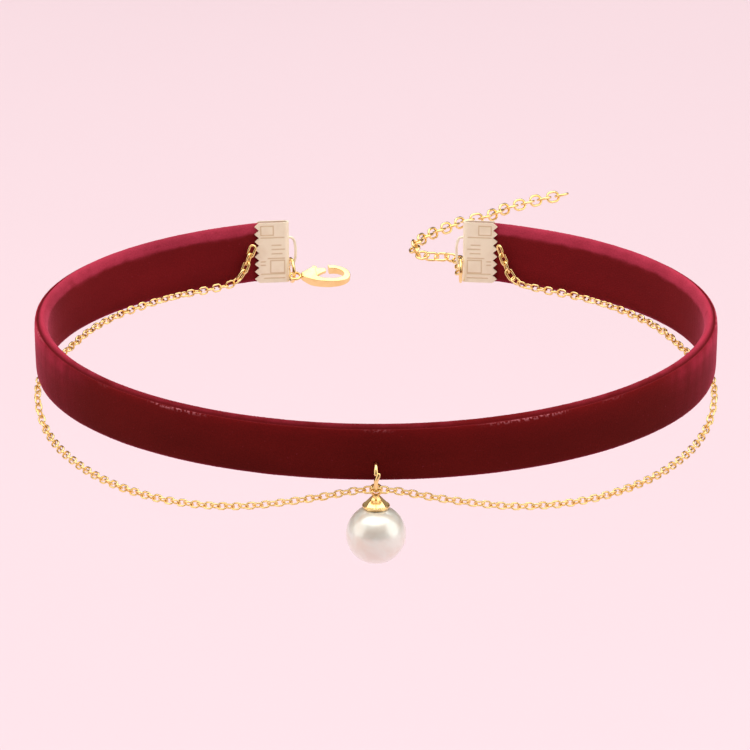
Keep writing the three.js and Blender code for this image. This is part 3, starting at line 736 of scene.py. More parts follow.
def chain_tree():
    """Node tree that sets links along a path, each turned against the one before it."""
    tree = bpy.data.node_groups.new("chain_along_path", "GeometryNodeTree")
    wanted = {"Geometry": "Geometry", "Link length": "Float", "Link width": "Float",
              "Wire radius": "Float", "First turn": "Float", "Turn each": "Float",
              "Links": "Int", "Steps": "Int", "Sides": "Int", "Metal": "Material"}
    for name, kind in wanted.items():
        tree.interface.new_socket(name, in_out="INPUT", socket_type="NodeSocket" + kind)
    tree.interface.new_socket("Geometry", in_out="OUTPUT", socket_type="NodeSocketGeometry")
    start = add_node(tree, "NodeGroupInput").outputs

    # One link: a circle whose halves are moved apart, with the wire swept round it
    half_width = add_node(tree, "ShaderNodeMath", {0: start["Link width"], 1: 0.5},
                          operation="MULTIPLY")
    bend = add_node(tree, "ShaderNodeMath", {0: half_width, 1: start["Wire radius"]},
                    operation="SUBTRACT")
    longer = add_node(tree, "ShaderNodeMath", {0: start["Link length"], 1: start["Link width"]},
                      operation="SUBTRACT")
    straight = add_node(tree, "ShaderNodeMath", {0: longer, 1: 0.5}, operation="MULTIPLY")
    circle = add_node(tree, "GeometryNodeCurvePrimitiveCircle",
                      {"Resolution": start["Steps"], "Radius": bend})
    here = add_node(tree, "GeometryNodeInputPosition")
    parts = add_node(tree, "ShaderNodeSeparateXYZ", {0: here}).outputs
    half = add_node(tree, "ShaderNodeMath", {0: parts["X"]}, operation="SIGN")
    push = add_node(tree, "ShaderNodeMath", {0: half, 1: straight}, operation="MULTIPLY")
    shift = add_node(tree, "ShaderNodeCombineXYZ", {"X": push})
    oval = add_node(tree, "GeometryNodeSetPosition", {"Geometry": circle, "Offset": shift})
    section = add_node(tree, "GeometryNodeCurvePrimitiveCircle",
                       {"Resolution": start["Sides"], "Radius": start["Wire radius"]})
    link = add_node(tree, "GeometryNodeCurveToMesh", {"Curve": oval, "Profile Curve": section})

    # The joints between links, then each link's middle and the way that it points
    path = add_node(tree, "GeometryNodeMeshToCurve", {"Mesh": start["Geometry"]})
    joints = add_node(tree, "ShaderNodeMath", {0: start["Links"], 1: 1.0}, operation="ADD")
    even = add_node(tree, "GeometryNodeResampleCurve", {"Curve": path, "Count": joints})
    dots = add_node(tree, "GeometryNodeCurveToPoints", {"Curve": even}, mode="EVALUATED")
    index = add_node(tree, "GeometryNodeInputIndex")
    after = add_node(tree, "ShaderNodeMath", {0: index, 1: 1.0}, operation="ADD")
    following = add_node(tree, "GeometryNodeFieldAtIndex", {"Index": after, "Value": here},
                         data_type="FLOAT_VECTOR", domain="POINT")
    step = add_node(tree, "ShaderNodeVectorMath", {0: following, 1: here}, operation="SUBTRACT")
    aimed = add_node(tree, "GeometryNodeStoreNamedAttribute",
                     {"Geometry": dots, "Name": "along", "Value": step},
                     data_type="FLOAT_VECTOR", domain="POINT")
    along, facing = (add_node(tree, "GeometryNodeInputNamedAttribute", {"Name": name},
                              data_type="FLOAT_VECTOR") for name in ("along", "facing"))
    half_step = add_node(tree, "ShaderNodeVectorMath", {0: along, 3: 0.5}, operation="SCALE")
    middles = add_node(tree, "GeometryNodeSetPosition", {"Geometry": aimed, "Offset": half_step})
    before_last = add_node(tree, "ShaderNodeMath", {0: start["Links"], 1: 0.5},
                           operation="SUBTRACT")
    is_last = add_node(tree, "ShaderNodeMath", {0: index, 1: before_last},
                       operation="GREATER_THAN")
    spots = add_node(tree, "GeometryNodeDeleteGeometry",
                     {"Geometry": middles, "Selection": is_last}, domain="POINT")

    # Each link points along the path, faces the stored way, and then takes its own turn
    pointed = add_node(tree, "FunctionNodeAlignRotationToVector", {"Vector": along}, axis="X")
    faced = add_node(tree, "FunctionNodeAlignRotationToVector",
                     {"Rotation": pointed, "Vector": facing}, axis="Z", pivot_axis="X")
    turns = add_node(tree, "ShaderNodeMath", {0: index, 1: start["Turn each"]},
                     operation="MULTIPLY")
    turn = add_node(tree, "ShaderNodeMath", {0: turns, 1: start["First turn"]}, operation="ADD")
    spin = add_node(tree, "FunctionNodeAxisAngleToRotation", {"Axis": ASIDE, "Angle": turn})
    rolled = add_node(tree, "FunctionNodeRotateRotation",
                      {"Rotation": faced, "Rotate By": spin}, rotation_space="LOCAL")
    links = add_node(tree, "GeometryNodeInstanceOnPoints",
                     {"Points": spots, "Instance": link, "Rotation": rolled})
    whole = add_node(tree, "GeometryNodeRealizeInstances", {"Geometry": links})
    smooth = add_node(tree, "GeometryNodeSetShadeSmooth", {"Geometry": whole})
    clad = add_node(tree, "GeometryNodeSetMaterial",
                    {"Geometry": smooth, "Material": start["Metal"]})
    add_node(tree, "NodeGroupOutput", {"Geometry": clad})
    return tree


def chain_mesh(name, path, facings, first_turn, links, link, steps, sides):
    """Links along a path, as one plain mesh. A link is its length, its width and its wire."""
    line = bpy.data.meshes.new(name + "_path")
    line.from_pydata([tuple(p) for p in path], [(i, i + 1) for i in range(len(path) - 1)], [])
    way = line.attributes.new("facing", "FLOAT_VECTOR", "POINT")
    for i, facing in enumerate(facings):
        way.data[i].vector = facing
    carrier = bpy.data.objects.new(name + "_path", line)
    bpy.context.scene.collection.objects.link(carrier)
    tree = bpy.data.node_groups.get("chain_along_path") or chain_tree()
    chain = carrier.modifiers.new("chain", "NODES")
    chain.node_group = tree
    length, width, wire = link
    values = {"Link length": length, "Link width": width, "Wire radius": wire,
              "First turn": first_turn, "Turn each": math.radians(90),
              "Links": links, "Steps": steps, "Sides": sides, "Metal": gold()}
    for item in tree.interface.items_tree:
        if item.in_out == "INPUT" and item.name in values:
            chain[item.identifier] = values[item.name]
    return settled(carrier, name)


class CHOKER_OT_ribbon(bpy.types.Operator):
    """Make the velvet ribbon, folded so that a thick inner roll lies against a thin outer edge"""

    bl_idname = "choker.ribbon"
    bl_label = "Velvet ribbon"

    steps = 1100
    sides = 56
    # Room between the ribbon's end and the crimp's fold, and between the drop ring and its way
    end_gap, hole_gap = 0.6 * MM, 0.06 * MM
    # Powers that square the section: along its height, then over the inner and outer shoulders
    edge_power, inner_power, outer_power = 0.35, 0.8, 0.5
    # Where the top edge begins, as a share of half the width, and its fade, as one of the width
    top_level, top_fade = 0.885, 0.09
    # The painted highlight line on the outer top edge: its place from the middle, and its half
    # width
    lip_place, lip_width = 0.95 * MM, 0.14 * MM
    # The zones' fades, and how high the hem reaches from the lower edge
    roll_fade, hem_height, hem_fade = 1.4 * MM, 0.4 * MM, 0.6 * MM
    inner_fade, brow_fade = 0.4 * MM, 1.8 * MM
    # Round the bends the outer face is painted with sheen down to a depth from the top edge, and
    # less so below it
    bend_level, bend_fade = 0.9, 0.2
    open_depth, open_fade, open_below = 2.4 * MM, 2.4 * MM, 0.2
    spread_start, spread_fade = 0.2 * MM, MM
    # The roll's painted highlight is weaker along the front, and in one patch round the loop: that
    # patch's angle, its spread
    front_press, front_level, front_fade = 0.45, 0.45, 0.5
    flat_press, flat_place, flat_spread = 0.3, math.radians(289), math.radians(9)
    # Waves and tufts in a metre, how high they stand on the edges, and the tufts on the faces
    waves, tufts = 160, 3600
    wave_height, edge_tuft, face_tuft = 0.07, 0.05, 0.02

    def section(self, ribbon, thickness):
        """Out, up and the weights of the zones, round the section from the middle of its foot."""
        share = thickness / ribbon.thickness
        top = ribbon.width / 2
        spots = []
        for j in range(self.sides):
            turn = math.tau * j / self.sides - math.pi / 2
            side, rise = math.cos(turn), math.sin(turn)
            power = self.outer_power if side > 0 and rise > 0 else self.inner_power
            out = ribbon.thickness / 2 * signed_power(side, power)
            high = top * signed_power(rise, self.edge_power)
            near_top = ramp(high - self.top_level * top, self.top_fade * ribbon.width)
            groove = near_top * bell(out - ribbon.groove_place, ribbon.groove_width)
            # Where the roll's painted highlight lies: the top edge and the top of the inner face,
            # inside the groove
            roll = ramp(high - top + ribbon.roll_band, self.roll_fade) \
                * ramp(ribbon.groove_place - out, ribbon.groove_width)
            lip = near_top * bell(out - self.lip_place, self.lip_width)
            hem = ramp(-high - top + self.hem_height, self.hem_fade)
            inner = ramp(-out, self.inner_fade)
            # Painted light: the outer face lighter towards its top edge, fading down
            brow = (1 - inner) * math.exp((high - top) / self.brow_fade)
            spots.append((out * share, high - groove * ribbon.groove_depth * share,
                          (roll, groove, lip, inner, hem, brow)))
        return spots

    def skin(self, ribbon, metal):
        """The rings of points along the ribbon, their distances along it and their weights."""
        first = fold_turn() + (metal.crimp_wall + self.end_gap) * turn_per_metre()
        last = 3 * math.pi - first
        rings, lengths, weights = [], [], []
        before = ribbon_place(first)[0]
        for i in range(self.steps + 1):
            turn = first + (last - first) * i / self.steps
            middle, face, up, away = ribbon_place(turn)
            puff = ramp(away - ribbon.squeeze_length / 2, ribbon.squeeze_length)
            thickness = ribbon.grip_thickness \
                + (ribbon.thickness - ribbon.grip_thickness) * puff
            lengths.append((lengths[-1] if lengths else 0.0) + (middle - before).length)
            before = middle
            # The roll's painted highlight is weaker along the front and in one patch round the loop
            pressed = 1 - self.flat_press * bell(turn - self.flat_place, self.flat_spread) \
                - self.front_press * ramp(-math.sin(turn) - self.front_level, self.front_fade)
            bend = ramp(abs(math.cos(turn)) - self.bend_level, self.bend_fade)
            ring = []
            for out, high, (roll, *others) in self.section(ribbon, thickness):
                level = high / (ribbon.width / 2)
                at_edge = min(1.0, abs(level)) ** 12 * puff
                wave = noise.noise(Vector((lengths[-1] * self.waves, 0.4 * level, 3.0)))
                tuft = noise.noise(Vector((lengths[-1] * self.tufts, 9 * out / thickness,
                                           9 * level)))
                swell = ((self.wave_height * wave + self.edge_tuft * tuft) * at_edge
                         + self.face_tuft * tuft * puff) * MM
                ring.append(middle + face * (out * (1 + swell / (0.5 * thickness)))
                            + up * (high + math.copysign(swell, high) * at_edge))
                # Painted sheen at the bends, on the outer face, strongest near the top edge
                open_pile = self.open_below + (1 - self.open_below) \
                    * ramp(high - ribbon.width / 2 + self.open_depth, self.open_fade)
                spread = bend * open_pile * ramp(out + self.spread_start, self.spread_fade)
                weights.append((roll * pressed, *others, spread))
            rings.append(ring)
        return rings, lengths, weights

    def lay_pattern(self, mesh, ribbon, lengths):
        """Lays the velvet's pattern, in centimetres along the ribbon and round its section."""
        spots = self.section(ribbon, ribbon.thickness)
        around = [0.0]
        for a, b in zip(spots, spots[1:] + spots[:1]):
            around.append(around[-1] + math.dist(a[:2], b[:2]))
        in_metre = 100
        pattern = mesh.uv_layers.new(name="ribbon")
        for face in mesh.polygons:
            corners = [divmod(mesh.loops[k].vertex_index, self.sides) for k in face.loop_indices]
            wraps = {0, self.sides - 1} <= {j for _, j in corners} and len(corners) == 4
            for corner, (i, j) in zip(face.loop_indices, corners):
                end = self.sides if wraps and j == 0 else j
                pattern.data[corner].uv = (lengths[i] * in_metre, around[end] * in_metre)

    def execute(self, context):
        ribbon = context.scene.choker_ribbon
        metal = context.scene.choker_metal
        rings, lengths, weights = self.skin(ribbon, metal)
        mesh = mesh_from("velvet_ribbon", *loft(rings))
        for name, values in zip(RIBBON_MARKS, zip(*weights)):
            mark = mesh.attributes.new(name, "FLOAT", "POINT")
            mark.data.foreach_set("value", values)
        self.lay_pattern(mesh, ribbon, lengths)
        # The drop ring's way through the ribbon, a little wider than its wire
        way = hoop(middle_of("drop_ring"), metal.drop_ring_radius, BACK, 64)
        body = bpy.data.objects.new("ribbon_blank", mesh)
        punch = bpy.data.objects.new("punch", wire_mesh(
            "punch", way, ASIDE, metal.drop_ring_wire + self.hole_gap, closed=True))
        context.scene.collection.objects.link(body)
        context.scene.collection.objects.link(punch)
        cut = body.modifiers.new("way", "BOOLEAN")
        cut.operation = "DIFFERENCE"
        cut.object = punch
        cut.solver = "EXACT"
        mesh = settled(body, "velvet_ribbon")
        bpy.data.objects.remove(punch)
        crease(mesh, 60.0)
        piece = add_piece("ribbon", mesh, velvet_material(), "necklace", "velvet",
                          "velvet_ribbon")
        return {"FINISHED"}


class CHOKER_OT_crimps(bpy.types.Operator):
    """Make the two stamped end crimps, with their teeth, stamped lines and wire loops"""

    bl_idname = "choker.crimps"
    bl_label = "End crimps"

    rows, leg_steps, bend_steps, loop_steps = 124, 54, 14, 40
    # The sheet is pressed on to the ribbon, and bites into it behind the teeth
    soft_gap, bite_length, bite_depth = 0.05 * MM, 1.3 * MM, 0.12 * MM
    # How deep the stamp goes, then in millimetres its lines' half width and how softly they end
    stamp_depth, line_width, line_end = 0.05 * MM, 0.09, 0.05
    # Stamped lines: middle along the crimp, height, half length, in millimetres
    lines = ((-2.17, 1.26, 0.83), (-1.67, 0.55, 1.33), (-2.1, -0.18, 0.92), (-1.9, -0.98, 1.75),
             (-4.4, -1.5, 0.42), (-4.4, -2.1, 0.42), (-2.67, -3.63, 2.17), (-2.5, -4.33, 1.83),
             (-2.83, 2.57, 2.0))
    # Stamped frames: middle along the crimp, height, half length, half height
    frames = ((-3.72, 3.77, 1.04, 0.77), (-2.0, -2.4, 1.18, 1.06))

    def stamp(self, x, z):
        """How deep the stamp has gone at a place on the crimp's face, from 0 to 1."""
        deep = 0.0
        for middle, height, half in self.lines:
            inside = 1 / (1 + math.exp((abs(x - middle) - half) / self.line_end))
            deep = max(deep, inside * bell(z - height, self.line_width))
        for middle, height, half, rise in self.frames:
            edge = max(abs(x - middle) - half, abs(z - height) - rise)
            deep = max(deep, bell(edge, self.line_width))
        return deep

    def layer(self, metal, half, stamped):
        """Rows of points over one side of the folded sheet, and how deep each is stamped."""
        outer = metal.crimp_wall + self.soft_gap \
            + bpy.context.scene.choker_ribbon.grip_thickness / 2
        length, height = metal.crimp_length, metal.crimp_height
        rows, depths = [], []
        for i in range(self.rows + 1):
            z = -height / 2 + height * i / self.rows
            tooth = abs((z + height / 2) / (height / metal.crimp_teeth) % 1 - 0.5) * 2
            tip = -length + metal.tooth_depth * tooth
            legs, marks = [], []
            for side in (-1, 1):
                leg, mark = [], []
                for step in range(self.leg_steps + 1):
                    x = tip + (-outer - tip) * step / self.leg_steps
                    bite = max(0.0, (-length + self.bite_length - x) / self.bite_length) ** 2
                    deep = self.stamp(x / MM, z / MM) if stamped else 0.0
                    y = half - bite * self.bite_depth - deep * self.stamp_depth
                    leg.append(Vector((x, side * y, z)))
                    mark.append(deep)
                legs.append(leg)
                marks.append(mark)
            turns = [math.pi * (j / self.bend_steps - 0.5) for j in range(1, self.bend_steps)]
            bend = [Vector((-outer + half * math.cos(t), half * math.sin(t), z)) for t in turns]
            rows.append([*legs[0], *bend, *reversed(legs[1])])
            depths.append([*marks[0], *[0.0] * len(bend), *reversed(marks[1])])
        return rows, depths

    def sheet(self, metal, ribbon):
        """The folded sheet, in the crimp's own frame."""
        inner = ribbon.grip_thickness / 2 + self.soft_gap
        outside, deep = self.layer(metal, inner + metal.crimp_wall, True)
        inside, flat = self.layer(metal, inner, False)
        rings = [[*a, *reversed(b)] for a, b in zip(outside, inside)]
        marks = [mark for a, b in zip(deep, flat) for mark in (*a, *reversed(b))]
        points, faces = loft(rings, capped=False)
        sides = len(rings[0])
        for base in (0, (len(rings) - 1) * sides):
            for j in range(sides // 2 - 1):
                faces.append((base + j, base + j + 1,
                              base + sides - 2 - j, base + sides - 1 - j))
        mesh = mesh_from("crimp_sheet", points, faces)
        stamped = mesh.attributes.new("stamp", "FLOAT", "POINT")
        stamped.data.foreach_set("value", marks)
        return mesh

    def loop(self, metal):
        """The wire loop on the fold, in the crimp's own frame."""
        foot = -metal.crimp_wall / 2
        path = []
        for i in range(self.loop_steps + 1):
            turn = math.pi * (i / self.loop_steps - 0.5)
            bow = math.sqrt(max(0.0, math.cos(turn)))
            path.append(Vector((foot + (metal.loop_reach - foot) * bow, 0.0,
                                metal.loop_half_height * math.sin(turn))))
        return wire_mesh("crimp_loop", path, BACK, metal.loop_wire)

    def execute(self, context):
        metal = context.scene.choker_metal
        material = crimp_material()
        for name, side in (("crimp_left", -1), ("crimp_right", 1)):
            mesh = joined(name, [self.sheet(metal, context.scene.choker_ribbon),
                                 self.loop(metal)])
            mesh.transform(crimp_frame(side))
            crease(mesh, 40.0)
            add_piece("stamped_" + name, mesh, material, "necklace", "pale_gold", name)
        return {"FINISHED"}


class CHOKER_OT_rings(bpy.types.Operator):
    """Make the jump rings and the drop ring, each with the cut where it was closed"""

    bl_idname = "choker.rings"
    bl_label = "Rings"

    steps = 72
    cut = 0.05 * MM
    # How many steps of wire lead back from an end that stands off
    stray_steps = 3.5

    def execute(self, context):
        metal = context.scene.choker_metal
        jump = (metal.ring_radius, metal.ring_wire)
        drop = (metal.drop_ring_radius, metal.drop_ring_wire)
        # Node, radius and wire, turn, where it is cut, and how far one end stands off sideways
        rings = (("clasp_ring", jump, 14.0, 25.0, 0.0),
                 ("extender_ring", jump, 180.0, 150.0, 0.0),
                 ("drop_ring", drop, 0.0, 158.0, 0.4 * MM))
        for name, (radius, wire), turn, opening, aside in rings:
            gap = self.cut / radius
            path = []
            for i in range(self.steps + 1):
                around = math.radians(opening) + gap + (math.tau - 2 * gap) * i / self.steps
                path.append(Vector((aside * bell(i, self.stray_steps),
                                    radius * math.cos(around), radius * math.sin(around))))
            mesh = wire_mesh(name, path, ASIDE, wire, sides=20)
            mesh.transform(Matrix.Translation(middle_of(name))
                           @ Matrix.Rotation(math.radians(turn), 4, "Z"))
            crease(mesh, 50.0)
            add_piece("closed_" + name, mesh, gold(), "necklace", "gold", name)
        return {"FINISHED"}


class CHOKER_OT_clasp(bpy.types.Operator):
    """Make the cast clasp and its lever, with the rounded edges of a casting"""

    bl_idname = "choker.clasp"
    bl_label = "Lobster clasp"

    weld = 0.002 * MM
    grain = 0.05 * MM
    tumbling = 20

    def execute(self, context):
        for node, body in (("clasp_body", "necklace"), ("clasp_lever", "lever")):
            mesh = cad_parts[node].data.copy()
            shaped = bmesh.new()
            shaped.from_mesh(mesh)
            bmesh.ops.remove_doubles(shaped, verts=shaped.verts, dist=self.weld)
            shaped.to_mesh(mesh)
            shaped.free()
            blank = bpy.data.objects.new(node + "_blank", mesh)
            context.scene.collection.objects.link(blank)
            skin = blank.modifiers.new("skin", "REMESH")
            skin.mode = "VOXEL"
            skin.voxel_size = self.grain
            tumbled = blank.modifiers.new("tumbled", "SMOOTH")
            tumbled.factor = 0.5
            tumbled.iterations = self.tumbling
            cast = settled(blank, node)
            for face in cast.polygons:
                face.use_smooth = True
            add_piece("cast_" + node, cast, gold(), body, "gold", node)
        return {"FINISHED"}


class CHOKER_OT_extender(bpy.types.Operator):
    """Make the extender chain behind the neck"""

    bl_idname = "choker.extender"
    bl_label = "Extender chain"

    # Where the first link hangs on the ring, from its lowest point, and the first link's own turn
    hang, first_turn = math.radians(60), math.radians(-25)
    # The chain lies pulled out, so its links stand this much further apart than they need
    pull = 1.004

    def execute(self, context):
        metal = context.scene.choker_metal
        length, link_wire = metal.extender_link_length, metal.extender_link_wire
        wire = middle_of("extender_ring") \
            + metal.ring_radius * (BACK * math.sin(self.hang) - UP * math.cos(self.hang))
        route = [wire + length * Vector(offset) for offset in EXTENDER_ROUTE]
        pitch = length - 4 * link_wire - metal.link_gap
        half_link = length / 2 - link_wire
        first_end = half_link - (metal.ring_wire + link_wire + metal.link_gap)
        start = wire + (route[0] - wire).normalized() * (first_end - pitch / 2)
        path = part_of_path(smooth_path([start, *route]), 0.0,
                            pitch * metal.extender_links * self.pull)
        mesh = chain_mesh("extender_chain", path, [UP] * len(path), self.first_turn,
                          metal.extender_links, (length, metal.extender_link_width, link_wire),
                          steps=30, sides=10)
        nodes = [f"extender_link_{i:02d}" for i in range(1, metal.extender_links + 1)]
        add_piece("extender_chain", mesh, gold(), "necklace", "gold", *nodes)
        return {"FINISHED"}


class CHOKER_OT_fine_chain(bpy.types.Operator):
    """Make the fine chain from crimp to crimp, through the drop ring"""

    bl_idname = "choker.fine_chain"
    bl_label = "Fine chain"

    # Where the middle link hangs in the drop ring, from the level
    lean = math.radians(48)
    # Behind this place the chain lies on the ribbon and twists, with a sway along its length
    twist_from, twist_fade, twist = 4 * MM, 12 * MM, math.radians(45)
    sway, sway_length = 0.35, 2.6 * MM

    def facings(self, path):
        """The way that the links face: outwards, and twisted where they lie on the ribbon."""
        found = []
        done = 0.0
        for i, point in enumerate(path):
            done += (point - path[i - 1]).length if i else 0.0
            ahead = path[min(i + 1, len(path) - 1)] - path[max(i - 1, 0)]
            twist = ramp(point.y - self.twist_from, self.twist_fade) \
                * (self.twist + self.sway * math.sin(done / self.sway_length))
            outward = Vector((point.x, point.y, 0.0)).normalized()
            outward.rotate(Matrix.Rotation(twist, 3, ahead.normalized()))
            found.append(outward)
        return found

    def execute(self, context):
        metal = context.scene.choker_metal
        width = context.scene.choker_ribbon.width
        through = middle_of("drop_ring") \
            - metal.drop_ring_radius * (BACK * math.cos(self.lean) + UP * math.sin(self.lean))
        left = []
        for degrees, out, height in CHAIN_ROUTE:
            turn = math.radians(degrees)
            left.append(loop_point(turn) + loop_outward(turn) * out * width
                        + UP * height * width)
        right = [Vector((-p.x, p.y, p.z)) for p in reversed(left)]
        path = smooth_path([*left, through, *right])
        total = sum((b - a).length for a, b in zip(path, path[1:]))
        fine = (metal.link_length, metal.link_width, metal.link_wire)
        end = (metal.end_link_length, metal.end_link_width, metal.end_link_wire)
        pitch, end_pitch = (length - 4 * wire - metal.fine_link_gap
                            for length, _, wire in (fine, end))
        ends = metal.end_links * end_pitch
        links = 2 * round(((total - 2 * ends) / pitch - 1) / 2) + 1
        # The middle link faces along the ring's wire, so the first link's turn follows from it
        quarter = math.radians(90)
        first = quarter - self.lean - quarter * ((links - 1) // 2 % 4)
        spans = ((end, 0.0, ends, metal.end_links, 0.0),
                 (fine, ends, total - ends, links, first),
                 (end, total - ends, total, metal.end_links, 0.0))
        meshes = []
        for link, begin, finish, number, turn in spans:
            part = part_of_path(path, begin, finish)
            meshes.append(chain_mesh("fine_chain_part", part, self.facings(part), turn,
                                     number, link, steps=18, sides=8))
        mesh = joined("fine_chain", meshes)
        add_piece("fine_chain", mesh, gold(), "necklace", "gold", "chain_left", "chain_right")
        return {"FINISHED"}


class CHOKER_OT_drop(bpy.types.Operator):
    """Make the pearl and the turned cap with its eye on the drop ring"""

    bl_idname = "choker.drop"
    bl_label = "Pearl drop"

    segments = 96
    # The cap's facets, and the ridge on each of their corners
    facets, ridge = 8, 0.07 * MM
    # Room between cap and pearl, and how far the eye is sunk into the top of the cone
    seat_gap, eye_sink = 0.1 * MM, 0.2 * MM
    # How far the cap's underside stays inside its rim, and the cone's foot as a share of the rim
    rim_inset, cone_foot = 0.2 * MM, 0.93

    def cap(self, drop, eye_radius, centre):
        """The cap in the eye's frame, from its peg in the pearl to its eye."""
        pearl_radius = drop.pearl_diameter / 2
        seat = pearl_radius + self.seat_gap
        cap_top = -eye_radius - drop.eye_wire + self.eye_sink
        rim = cap_top - drop.cap_height
        bead = drop.rim_height / 2
        peg_end = centre + pearl_radius - drop.peg_depth
        profile = [(0.0, peg_end), (drop.peg_radius, peg_end)]
        for i in range(9):
            radius = drop.peg_radius \
                + (drop.cap_rim_radius - self.rim_inset - drop.peg_radius) * i / 8
            profile.append((radius, centre + math.sqrt(seat ** 2 - radius ** 2)))
        for i in range(9):
            turn = math.pi * (i / 8 - 0.5)
            profile.append((drop.cap_rim_radius - bead + bead * math.cos(turn),
                            rim + bead + bead * math.sin(turn)))
        first_flat = len(profile)
        foot, shoulder = drop.cap_rim_radius * self.cone_foot, rim + drop.rim_height
        for i in range(17):
            share = i / 16
            profile.append((foot + (drop.cap_top_radius - foot) * share,
                            shoulder + (cap_top - shoulder) * share))
        profile.append((0.0, cap_top))
        cone = turned_mesh("cap_cone", profile, self.segments, self.facets, first_flat,
                           self.ridge)
        eye = wire_mesh("cap_eye", hoop(Vector(), eye_radius, ASIDE, 48), BACK, drop.eye_wire,
                        closed=True)
        return joined("pearl_cap", [cone, eye])

    def pearl(self, drop):
        """The pearl, with the drill hole that the peg goes into."""
        radius = drop.pearl_diameter / 2
        start = math.asin(drop.drill_radius / radius)
        profile = [(0.0, -radius)]
        for i in range(1, 65):
            turn = math.pi + (start - math.pi) * i / 64
            profile.append((radius * math.sin(turn), radius * math.cos(turn)))
        profile.append((drop.drill_radius, radius - drop.drill_depth))
        profile.append((0.0, radius - drop.drill_depth))
        return turned_mesh("pearl", profile, self.segments)

    def execute(self, context):
        drop = context.scene.choker_drop
        metal = context.scene.choker_metal
        eye_centre = middle_of("drop_ring") - UP * metal.drop_ring_radius
        eye_radius = metal.drop_ring_wire + drop.eye_gap + drop.eye_wire
        pearl_middle = middle_of("pearl")
        pearl_middle.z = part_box("pearl")[0].z + drop.pearl_diameter / 2
        cap = self.cap(drop, eye_radius, pearl_middle.z - eye_centre.z)
        cap.transform(Matrix.Translation(eye_centre))
        crease(cap, 24.0)
        add_piece("turned_pearl_cap", cap, gold(), "drop", "gold", "pearl_cap")
        pearl = self.pearl(drop)
        pearl.transform(Matrix.Translation(pearl_middle))
        crease(pearl, 40.0)
        add_piece("glass_pearl", pearl, pearl_material(), "drop", "pearl", "pearl")
        return {"FINISHED"}


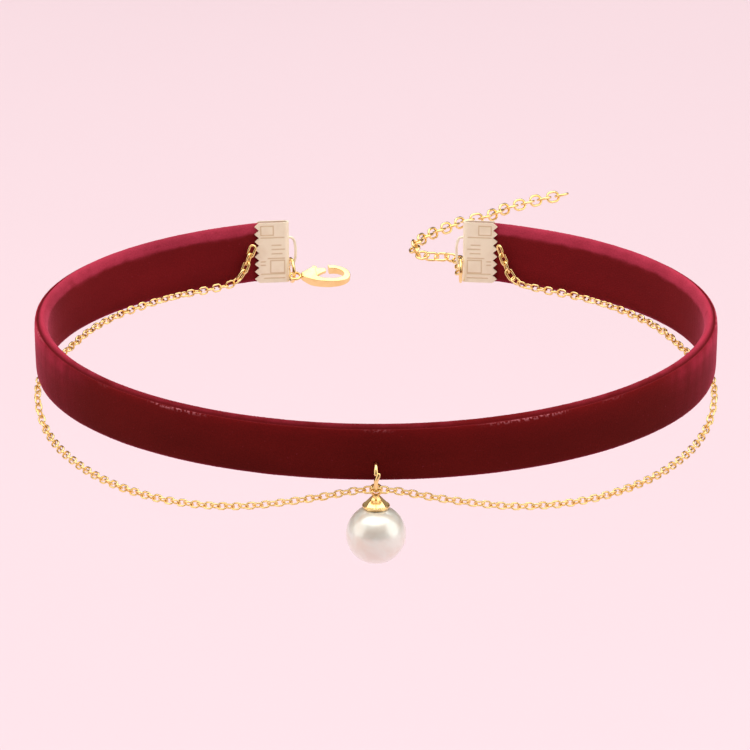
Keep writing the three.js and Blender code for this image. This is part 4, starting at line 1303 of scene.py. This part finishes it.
class CHOKER_OT_stage(bpy.types.Operator):
    """Make the camera, the plain floor and the soft lights"""

    bl_idname = "choker.stage"
    bl_label = "Stage"

    # The photograph's frame is 750 pixels wide and high, and the camera was fitted in pixels:
    # its focal length, and where the frame's middle line meets the picture
    pixels, focal = 750, 9265.2
    centre_x, centre_y = 376.0, 343.8
    sensor = 36.0
    # Name of the light, its place, its width, and its power in watts. Each points at the origin
    lights = (
        ("overhead", (0.0, 0.08, 1.25), 2.4, 26.0),
        ("right", (1.3, -0.35, 0.55), 1.5, 6.0),
        ("left", (-1.3, -0.35, 0.55), 1.5, 5.2),
    )
    # The room that the metal mirrors: dark and dim things low down, and a pale dome
    dark, dim, pale = "#2e2118", "#8c6c4c", "#fff6f6"
    # Behind the floor's edge the backdrop is as pale as the floor
    backdrop = "#fde6ec"
    room_strength = 0.6

    def camera(self, scene, stage):
        """The camera at the photograph's angle."""
        lens = bpy.data.cameras.new("camera")
        lens.sensor_width = self.sensor
        lens.lens = self.sensor * self.focal / self.pixels
        lens.shift_x = (self.pixels / 2 - self.centre_x) / self.pixels
        lens.shift_y = (self.centre_y - self.pixels / 2) / self.pixels
        lens.clip_start = 0.1
        lens.clip_end = 20.0
        camera = bpy.data.objects.new("camera", lens)
        back = UP * math.sin(stage.elevation) - BACK * math.cos(stage.elevation)
        camera.location = back * stage.distance
        camera.rotation_euler = back.to_track_quat("Z", "Y").to_euler()
        scene.collection.objects.link(camera)
        scene.camera = camera

    def room(self, scene):
        """The world: a pale dome overhead, and a dim warm room low down in front and behind."""
        world = bpy.data.worlds.new("studio")
        world.use_nodes = True
        tree = world.node_tree
        way = add_node(tree, "ShaderNodeTexCoord").outputs["Generated"]
        parts = add_node(tree, "ShaderNodeSeparateXYZ", {0: way}).outputs
        rise = add_node(tree, "ShaderNodeMapRange",
                        {"Value": parts["Z"], "From Min": 0.35, "From Max": 0.8},
                        interpolation_type="SMOOTHSTEP")
        aside = add_node(tree, "ShaderNodeMath", {0: parts["X"], 1: 2.0}, operation="POWER")
        lit = add_node(tree, "ShaderNodeMath", {0: rise, 1: aside}, operation="MAXIMUM")
        things = add_node(tree, "ShaderNodeTexNoise", {"Vector": way, "Scale": 3.2, "Detail": 1.0})
        clutter = add_node(tree, "ShaderNodeMapRange",
                           {"Value": things, "From Min": 0.42, "From Max": 0.6},
                           interpolation_type="SMOOTHSTEP")
        seen_by_camera = add_node(tree, "ShaderNodeLightPath").outputs["Is Camera Ray"]
        tone = with_alpha(linear(self.dark))
        backdrop = [part / self.room_strength for part in linear(self.backdrop)]
        for share, tint in ((clutter, linear(self.dim)), (lit, linear(self.pale)),
                            (seen_by_camera, backdrop)):
            tone = add_node(tree, "ShaderNodeMix", {0: share, 6: tone, 7: with_alpha(tint)},
                            data_type="RGBA").outputs[2]
        set_inputs(tree.nodes["Background"], {"Color": tone, "Strength": self.room_strength})
        scene.world = world

    def execute(self, context):
        scene = context.scene
        stage = scene.choker_stage
        self.camera(scene, stage)
        far, down = stage.floor_reach, -stage.floor_drop
        corners = [(-far, -far, down), (far, -far, down), (far, far, down), (-far, far, down)]
        floor = bpy.data.objects.new("floor", mesh_from("floor", corners, [(0, 1, 2, 3)],
                                                        smooth=False))
        floor.data.materials.append(floor_material())
        scene.collection.objects.link(floor)
        for name, place, width, power in self.lights:
            lamp = bpy.data.lights.new(name, "AREA")
            lamp.shape = "DISK"
            lamp.size = width
            lamp.energy = power
            light = bpy.data.objects.new(name, lamp)
            light.location = place
            light.rotation_euler = Vector(place).to_track_quat("Z", "Y").to_euler()
            scene.collection.objects.link(light)
        self.room(scene)
        scene.view_settings.view_transform = "Standard"
        return {"FINISHED"}


class CHOKER_PT_panel(bpy.types.Panel):
    """Sizes, colours and pieces of the choker"""

    bl_idname = "CHOKER_PT_panel"
    bl_label = "Choker necklace"
    bl_space_type = "VIEW_3D"
    bl_region_type = "UI"
    bl_category = "Choker"

    def draw(self, context):
        layout = self.layout
        for name in GROUPS:
            group = getattr(context.scene, name)
            box = layout.box()
            box.label(text=name.replace("choker_", "").capitalize())
            for setting in group.__annotations__:
                box.prop(group, setting)
        for operator in OPERATORS:
            layout.operator(operator.bl_idname)


GROUPS = {
    "choker_ribbon": ChokerRibbon,
    "choker_metal": ChokerMetal,
    "choker_drop": ChokerDrop,
    "choker_stage": ChokerStage,
}
OPERATORS = (
    CHOKER_OT_stage,
    CHOKER_OT_ribbon,
    CHOKER_OT_crimps,
    CHOKER_OT_rings,
    CHOKER_OT_clasp,
    CHOKER_OT_extender,
    CHOKER_OT_fine_chain,
    CHOKER_OT_drop,
)


def register():
    """Registers the classes and hangs the settings on the scene."""
    for name, group in GROUPS.items():
        bpy.utils.register_class(group)
        setattr(bpy.types.Scene, name, PointerProperty(type=group))
    for kind in (*OPERATORS, CHOKER_PT_panel):
        bpy.utils.register_class(kind)


def unregister():
    """Takes away what register added."""
    for kind in reversed((*OPERATORS, CHOKER_PT_panel)):
        bpy.utils.unregister_class(kind)
    for name, group in GROUPS.items():
        delattr(bpy.types.Scene, name)
        bpy.utils.unregister_class(group)


def main():
    """Makes the whole scene."""
    register()
    bpy.ops.choker.stage()
    bpy.ops.choker.ribbon()
    bpy.ops.choker.crimps()
    bpy.ops.choker.rings()
    bpy.ops.choker.clasp()
    bpy.ops.choker.extender()
    bpy.ops.choker.fine_chain()
    bpy.ops.choker.drop()


if __name__ == "__main__":
    main()
